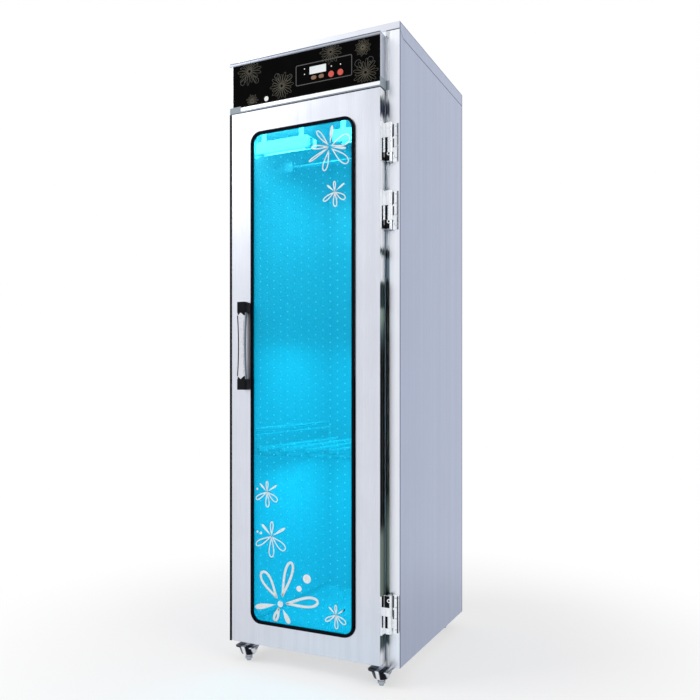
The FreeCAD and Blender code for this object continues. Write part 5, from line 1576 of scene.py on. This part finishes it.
@dataclass
class Door(Assembly):
    """The glazed door: its steel pans, the glass in its rubber channel and the gasket behind."""

    body: str = "door"
    coats: Mapping[str, Finish] = field(default_factory=lambda: {
        # The black door_edge_strip node stands in for a dark painted reflection along the door's left edge.
        "door_outer_pan": DOOR_STEEL, "door_inner_pan": LINER, "door_glass": GLASS, "door_edge_strip": RUBBER,
        "door_magnet": WHITE_PLASTIC,
    })
    opening_low: Spot = (-0.1938, 0.1340)
    opening_high: Spot = (0.1515, 1.6330)
    opening_corner: float = 0.031
    gasket_low: Spot = (-0.2540, 0.0840)
    gasket_high: Spot = (0.2240, 1.6860)
    gasket_corner: float = 0.015
    gasket_gap: float = 0.0003
    front: float = DOOR_FRONT
    edge_back: float = 0.0172
    edge_runs: Sequence[Span] = ((0.0645, 0.1495), (0.2615, 1.3035), (1.4155, 1.4970), (1.6090, 1.7035))
    edge_strip: Span = (0.0004, 0.0325)

    def seal(self) -> bpy.types.Object:
        """The glazing channel: a rounded front lip, a web in the gap and a rear lip.

        Returns:
            The channel, which takes the place of the window seal.
        """
        profile = (
            (-0.0050, 0.0000), (-0.0049, 0.0009), (-0.0040, 0.0015), (-0.0022, 0.0016), (-0.0012, 0.0010),
            (0.0000, 0.0008), (0.0012, 0.0010), (0.0022, 0.0016), (0.0040, 0.0015), (0.0049, 0.0009),
            (0.0050, 0.0000), (-0.0002, 0.0000), (-0.0002, -0.0050), (0.0036, -0.0052), (0.0037, -0.0066),
            (0.0030, -0.0070), (-0.0040, -0.0070), (-0.0049, -0.0064), (-0.0050, -0.0052), (-0.0022, -0.0050),
            (-0.0022, 0.0000),
        )
        piece = SweptRing("glazing_channel", self.opening_low, self.opening_high, self.front,
                          self.opening_corner, profile, RUBBER).build()
        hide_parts("window_seal")
        return piece

    def gasket(self) -> bpy.types.Object:
        """The door gasket: a flat foot on the pan, two bellows folds and the magnet pocket.

        Returns:
            The bellows, which take the place of the door gasket.
        """
        profile = (
            (-0.0060, 0.0057), (0.0060, 0.0057), (0.0060, 0.0045), (0.0046, 0.0040), (0.0059, 0.0033),
            (0.0046, 0.0026), (0.0058, 0.0018), (0.0060, 0.0004), (0.0052, 0.0000), (-0.0052, 0.0000),
            (-0.0060, 0.0004), (-0.0058, 0.0018), (-0.0046, 0.0026), (-0.0059, 0.0033), (-0.0046, 0.0040),
            (-0.0060, 0.0045),
        )
        piece = SweptRing("bellows_gasket", self.gasket_low, self.gasket_high, FRAME_FRONT - self.gasket_gap,
                          self.gasket_corner, profile, GASKET).build()
        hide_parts("door_gasket")
        return piece

    def pieces(self) -> Iterable[bpy.types.Object]:
        """The two seals, and a strip of painted reflection down the door's edge between the hinges.

        Returns:
            Each piece as it is made.
        """
        yield self.seal()
        yield self.gasket()
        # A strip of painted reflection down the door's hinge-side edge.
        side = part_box("door_outer_pan")[1][0]
        yield Strips.upright("door_edging", side + self.edge_strip[0] / 2, self.front + self.edge_back,
                             self.edge_runs, self.edge_strip, DOOR_EDGE_REFLECTION).build()


@dataclass
class GlassPrint(Assembly):
    """The pale pattern printed on the door's glass: fine dots and open flowers."""

    body: str = "door"
    face: float = DOOR_FRONT
    dots_low: Spot = (-0.186, 0.142)
    dots_high: Spot = (0.144, 1.625)
    high: Flower = Flower((0.0729, 1.5575), (
        Petal(-105.0, 0.070, 0.16, 0.012), Petal(-42.0, 0.080, 0.20, 0.010), Petal(16.0, 0.068, 0.32, 0.006),
        Petal(129.0, 0.066, 0.13, 0.008), Petal(174.0, 0.060, 0.12, 0.004), Petal(207.0, 0.076, 0.06, 0.006),
        Petal(82.0, 0.062, 0.12, 0.006, True), Petal(-12.0, 0.055, 0.10, 0.006, True)))
    low: Flower = Flower((-0.0947, 0.1985), (
        Petal(126.0, 0.110, 0.20, 0.022), Petal(73.5, 0.134, 0.13, 0.026), Petal(9.8, 0.130, 0.15, 0.022),
        Petal(193.0, 0.093, 0.13, 0.014, True), Petal(-60.0, 0.064, 0.19, 0.016, True),
        Petal(250.0, 0.055, 0.16, 0.016)))
    small: Sequence[Flower] = (
        Flower.blossom((0.0893, 1.4240), 0.043, 3.0), Flower.blossom((-0.1416, 0.5345), 0.046, 2.0),
        Flower.blossom((-0.1259, 0.4004), 0.063), Flower.blossom((0.0936, 0.1905), 0.040, 3.0))
    spots: Sequence[Point] = (
        (-0.0029, 0.2845, 0.0135), (-0.0298, 0.2522, 0.009), (-0.0947, 0.1985, 0.0095),
        (-0.1765, 0.4104, 0.0035), (-0.1639, 0.4075, 0.0045), (-0.1769, 0.5418, 0.0035))
    fine: float = 0.0038
    bold: float = 0.0085
    bold_swell: float = 1.1

    def pieces(self) -> Iterable[bpy.types.Object]:
        """The dots, the open petals, the full petals and the loose spots.

        Returns:
            Each piece as it is made.
        """
        yield StaggeredDots("glass_dots", self.dots_low, self.dots_high, self.face, DOT_INK).build()
        for name, flowers, line, solid, swell in (
                ("glass_petals_fine", (self.high, *self.small), self.fine, False, PetalPrint.swell),
                ("glass_petals_bold", (self.low,), self.bold, False, self.bold_swell),
                ("glass_petals_full", (self.high, self.low, *self.small), self.fine, True, PetalPrint.swell)):
            yield PetalPrint(name, flowers, self.face, line, solid, WHITE_INK, swell).build()
        yield DotPrint("glass_spots", self.spots, self.face, WHITE_INK).build()


@dataclass(frozen=True)
class GripLine:
    """A line up one side of the grip, -1 for the left and 1 for the right.

    It lies outside that side and behind the grip's face, follows a form that is narrow at its middle, and runs
    past the bright face's ends by a length.
    """

    name: str
    finish: Finish
    side: float
    outside: float
    behind: float
    size: Span
    widths: Span = (0.0165, 0.0235)
    past: float = 0.0


@dataclass
class Handle(Assembly):
    """The waisted black grip with its bright face, on its two black blocks."""

    body: str = "door"
    coats: Mapping[str, Finish] = field(default_factory=lambda: {
        "handle_grip": HANDLE_CHROME, "handle_mounts": BLACK_PLASTIC,
    })
    across: float = -0.2165
    foot: float = 0.8460
    length: float = 0.2690
    block: float = 0.0330
    point: float = 0.0090
    front: float = DOOR_FRONT - 0.0320
    steps: int = 12
    lines: Sequence[GripLine] = (
        GripLine("grip_line", BLACK_PLASTIC, -1.0, -0.0004, SKIN, (0.0002, 0.0036)),
        GripLine("grip_shoulder", HANDLE_CHROME, 1.0, 0.0016, 0.0014, (0.0002, 0.0032)),
        # The grip's flank takes a strip of painted shade.
        GripLine("grip_flank", GRIP_SHADE, 1.0, 0.0002, 0.0070, (0.0108, 0.0004), (0.0230, 0.0300), 0.0090))
    sheen_aside: float = 0.0062
    sheen_below: Span = (0.0290, 0.0030)
    sheen: Span = (0.0095, 0.0002)

    def waisted(self, line: GripLine) -> list[Point]:
        """Works out the points of a line on the grip.

        Args:
            line: the line.

        Returns:
            The points, from the lowest up.
        """
        inset = self.block + self.point - line.past
        narrow, wide = line.widths
        points = []
        for step in range(self.steps + 1):
            share = step / self.steps
            half = (narrow + (wide - narrow) * (2 * share - 1) ** 2) / 2
            height = self.foot + inset + (self.length - 2 * inset) * share
            points.append((self.across + line.side * (half + line.outside), self.front + line.behind, height))
        return points

    def pieces(self) -> Iterable[bpy.types.Object]:
        """The dark line, the turned shoulder and the painted shade down the grip's flank, and the painted sheen
        on the upper block.

        Returns:
            Each piece as it is made.
        """
        for line in self.lines:
            yield Strips(line.name, [self.waisted(line)], line.size, line.finish).build()
        # Painted sheen down the upper block's front.
        run = tuple(self.foot + self.length - below for below in self.sheen_below)
        yield Strips.upright("block_sheen", self.across - self.sheen_aside, self.front + SKIN, (run,),
                             self.sheen, BLOCK_PAINTED_SHEEN).build()


@dataclass
class Hinges(Assembly):
    """Three pinned hinges, with pan-head screws in their frame leaves."""

    coats: Mapping[str, Finish] = field(default_factory=lambda: {
        "hinge_door_leaves": HINGE_CHROME, "hinge_frame_leaves": HINGE_CHROME, "hinge_pins": ZINC,
    })
    centres: Sequence[float] = (0.2055, 1.3595, 1.5530)
    leaf_face: float = FRAME_FRONT - 0.0050
    screw_across: float = 0.2680
    screw_rows: Sequence[float] = (-0.044, -0.012, 0.020, 0.046)
    screw_head: Span = (0.0024, 0.0007)
    step_shadow_across: float = 0.2605
    step_shadow_spans: Sequence[Span] = ((0.018, 0.053), (-0.014, 0.012))
    step: Span = (0.0034, 0.0003)
    shade_across: float = 0.2728
    shade_run: Span = (0.1530, 0.2580)
    shade: Span = (0.0044, 0.0003)

    def pieces(self) -> Iterable[bpy.types.Object]:
        """The frame leaves' screws, a painted shadow at the step where each meets its knuckle, and painted
        shade down the lowest leaf's edge.

        Returns:
            Each piece as it is made.
        """
        heads = [(self.screw_across, self.leaf_face, centre + row)
                 for centre in self.centres for row in self.screw_rows]
        yield ScrewSet("hinge_screws", heads, FORWARDS, *self.screw_head).build()
        # Painted shadow at each leaf's step, and painted shade down the lowest leaf's edge.
        steps = [(centre + low, centre + high) for centre in self.centres for low, high in self.step_shadow_spans]
        for name, across, runs, size in (
                ("hinge_steps", self.step_shadow_across, steps, self.step),
                ("foot_leaf_shade", self.shade_across, (self.shade_run,), self.shade)):
            yield Strips.upright(name, across, self.leaf_face - SKIN, runs, size, PAINTED_SHADE_AND_DARK_PARTS).build()


@dataclass(frozen=True)
class BossDisc:
    """A disc on each boss: how far right of the axis and in front of the lug it sits, and its sizes."""

    name: str
    finish: Finish
    aside: float
    proud: float
    radius: float
    thickness: float = SKIN


@dataclass
class HingeBushes(Assembly):
    """What rides on the door's hinge leaves: black nylon bushes and the leaves' bright lips and bosses."""

    body: str = "door"
    axis: float = 0.2520
    lug_face: float = FRAME_FRONT - 0.0200
    bosses: Sequence[float] = (0.2465, 1.3255, 1.5190)
    plate_aside: float = 0.0058
    plate_below: float = 0.0205
    plate_above: Sequence[float] = (0.0130, 0.0055, 0.0055)
    plate: Span = (0.0160, 0.0006)
    tick_aside: float = 0.0143
    tick_behind: float = 0.0170
    tick_below: Span = (0.0185, 0.0090)
    tick: Span = (0.0004, 0.0290)
    lip_aside: float = 0.0132
    lip_behind: float = 0.0010
    lip_runs: Sequence[Span] = ((0.1674, 0.2006), (1.3316, 1.3724), (1.5251, 1.5659))
    lip: Span = (0.0028, 0.0016)
    discs: Sequence[BossDisc] = (
        BossDisc("boss_rings", HINGE_CHROME, 0.0010, 0.0012, 0.0057, 0.0010),
        BossDisc("boss_bores", BLACK_PLASTIC, 0.0006, 0.0021, 0.0030))

    def pieces(self) -> Iterable[bpy.types.Object]:
        """The bush plates, the ticks on the upper leaves' edges, the lips, and each boss's ring and bore.

        Returns:
            Each piece as it is made.
        """
        plates = [(boss - self.plate_below, boss + above)
                  for boss, above in zip(self.bosses, self.plate_above)]
        yield Strips.upright("bush_plates", self.axis - self.plate_aside, self.lug_face - self.plate[1] / 2,
                             plates, self.plate, BLACK_PLASTIC).build()
        ticks = [tuple(boss - below for below in self.tick_below) for boss in self.bosses[1:]]
        yield Strips.upright("leaf_ticks", self.axis - self.tick_aside, DOOR_FRONT + self.tick_behind, ticks,
                             self.tick, BLACK_PLASTIC).build()
        yield Strips.upright("leaf_lips", self.axis - self.lip_aside, self.lug_face + self.lip_behind,
                             self.lip_runs, self.lip, HINGE_CHROME).build()
        for disc in self.discs:
            spots = [(self.axis + disc.aside, boss, disc.radius) for boss in self.bosses]
            yield DotPrint(disc.name, spots, self.lug_face - disc.proud, disc.finish,
                           thickness=disc.thickness).build()


@dataclass
class Feet(Assembly):
    """Plated sleeves with the levelling inserts in them."""

    coats: Mapping[str, Finish] = field(default_factory=lambda: {
        "foot_sleeves": FOOT_REFLECTION_CHROME, "foot_insert_front_left": INSERT_CHROME,
        "foot_insert_front_right": INSERT_CHROME, "foot_insert_rear_left": INSERT_CHROME,
        "foot_insert_rear_right": INSERT_CHROME,
    })


# --------------------------------------------------------------------------------------------------
# Studio
# --------------------------------------------------------------------------------------------------


@dataclass(frozen=True)
class Lamp:
    """A square soft lamp: where it stands and points, its width, and its power in watts.

    One inside the cabinet has the tube light's colour, and is seen neither itself nor in a bright face.
    """

    name: str
    place: Point
    aim: Point
    size: float
    power: float
    inside: bool = False

    def build(self) -> None:
        """Sets the lamp."""
        data = bpy.data.lights.new(self.name, "AREA")
        data.size = self.size
        data.energy = self.power
        made = bpy.data.objects.new(self.name, data)
        made.location = self.place
        made.rotation_euler = (Vector(self.aim) - Vector(self.place)).to_track_quat("-Z", "Y").to_euler()
        bpy.context.scene.collection.objects.link(made)
        if self.inside:
            data.color = TUBE_LIGHT
            made.visible_camera = False
            made.visible_glossy = False


@dataclass(frozen=True)
class Flag:
    """A dark card that only bright metal shows: the way to it in degrees from +X towards +Y, and its width."""

    name: str
    turn: float
    width: float
    reach: float = 2.6
    height: float = 2.8

    def build(self) -> None:
        """Stands the card up and hides it from all but mirrored light."""
        turn = math.radians(self.turn)
        way = Vector((math.cos(turn), math.sin(turn), 0.0))
        aside = Vector((-math.sin(turn), math.cos(turn), 0.0))
        corners = [way * self.reach + aside * self.width * share + Vector((0.0, 0.0, height))
                   for share, height in ((-0.5, 0.0), (0.5, 0.0), (0.5, self.height), (-0.5, self.height))]
        mesh = plain_mesh(self.name, [tuple(corner) for corner in corners], (), [range(4)])
        made = add_piece(self.name, mesh)
        made.data.materials.append(DARK_CARD.material())
        for sight in ("camera", "diffuse", "transmission", "shadow", "volume_scatter"):
            setattr(made, f"visible_{sight}", False)


@dataclass
class Studio:
    """A plain pale floor, soft lamps and the camera."""

    eye: Point = (1.0631, -2.22705, 0.85682)
    yaw: float = 25.72
    lens: float = 37.94
    rise: float = 0.0518
    floor_radius: float = 9.0
    floor_sides: int = 64
    sky: float = 0.62
    lights: Sequence[Union[Lamp, Flag]] = (
        Lamp("key_lamp", (-3.2, -2.3, 3.4), (0.0, 0.0, 1.1), 2.2, 74.0),
        Lamp("side_lamp", (3.2, -1.2, 2.2), (0.0, 0.0, 0.9), 2.2, 25.0),
        Lamp("chamber_lamp", (0.0, 0.02, 1.596), (0.0, 0.05, 0.1), 0.3, 2.2, True),
        Lamp("shelf_lamp", (0.0, 0.02, 1.020), (0.0, 0.05, 0.1), 0.3, 2.6, True),
        Lamp("under_shelf_lamp", (0.0, 0.02, 0.600), (0.0, 0.05, 0.1), 0.3, 3.4, True),
        Flag("right_flag", -26.0, 0.9), Flag("left_flag", 172.0, 0.8))

    def camera(self) -> None:
        """Sets the camera level, turned to the cabinet's right front corner."""
        data = bpy.data.cameras.new("camera")
        data.lens = self.lens
        data.shift_y = self.rise
        made = bpy.data.objects.new("camera", data)
        made.location = self.eye
        made.rotation_euler = (math.pi / 2, 0.0, math.radians(self.yaw))
        bpy.context.scene.collection.objects.link(made)
        bpy.context.scene.camera = made

    def floor(self) -> None:
        """A wide floor that keeps the cabinet's shadow and fades to the backdrop's white."""
        turns = (math.tau * item / self.floor_sides for item in range(self.floor_sides))
        points = [(self.floor_radius * math.cos(turn), self.floor_radius * math.sin(turn), 0.0)
                  for turn in turns]
        made = add_piece("floor", plain_mesh("floor", points, (), [range(self.floor_sides)]))
        shader = ShaderGraph("floor_paper")
        where = shader.node("ShaderNodeTexCoord", output="Object")
        far = shader.node("ShaderNodeVectorMath", {"operation": "LENGTH"}, {0: where}, "Value")
        grain = shader.noise(where, 300.0, 3.0)
        paper = shader.principled({
            "Base Color": shader.mix(grain, (0.93, 0.93, 0.93), (0.97, 0.97, 0.97)),
            "Roughness": 0.6 + grain * 0.1,
            "Specular IOR Level": 0.2,
        })
        white = shader.node("ShaderNodeEmission", None, {"Strength": 1.0})
        surface = shader.blend(shader.remap(far, 0.6, 1.6, 0.5, 1.0), paper, white)
        made.data.materials.append(shader.show(surface))

    def world(self) -> None:
        """Even grey light, with white behind for the eye, mirrors and glass."""
        world = bpy.data.worlds.new("studio")
        world.use_nodes = True
        bpy.context.scene.world = world
        graph = NodeGraph(world.node_tree)
        path = graph.node("ShaderNodeLightPath", None, None, "Is Camera Ray")
        seen = path.most(path.other("Is Glossy Ray")).most(path.other("Is Transmission Ray"))
        white = opaque((1.0, 1.0, 1.0))
        light, back = [graph.node("ShaderNodeBackground", None, {"Strength": power, "Color": white})
                       for power in (self.sky, 1.0)]
        both = graph.node("ShaderNodeMixShader", None, {0: seen, 1: light, 2: back})
        graph.node("ShaderNodeOutputWorld", None, {"Surface": both})

    def build(self) -> None:
        """Makes the whole studio."""
        self.camera()
        self.floor()
        self.world()
        for light in self.lights:
            light.build()
        bpy.context.scene.view_settings.view_transform = "Standard"


def main() -> None:
    """Builds the studio and each sub-assembly."""
    logging.basicConfig(level=logging.INFO, format="%(message)s")
    Studio().build()
    for kind in (Carcass, Chamber, AirUnit, ControlPanel, Door, GlassPrint, Handle, Hinges, HingeBushes,
                 Feet):
        kind().build()


if __name__ == "__main__":
    main()
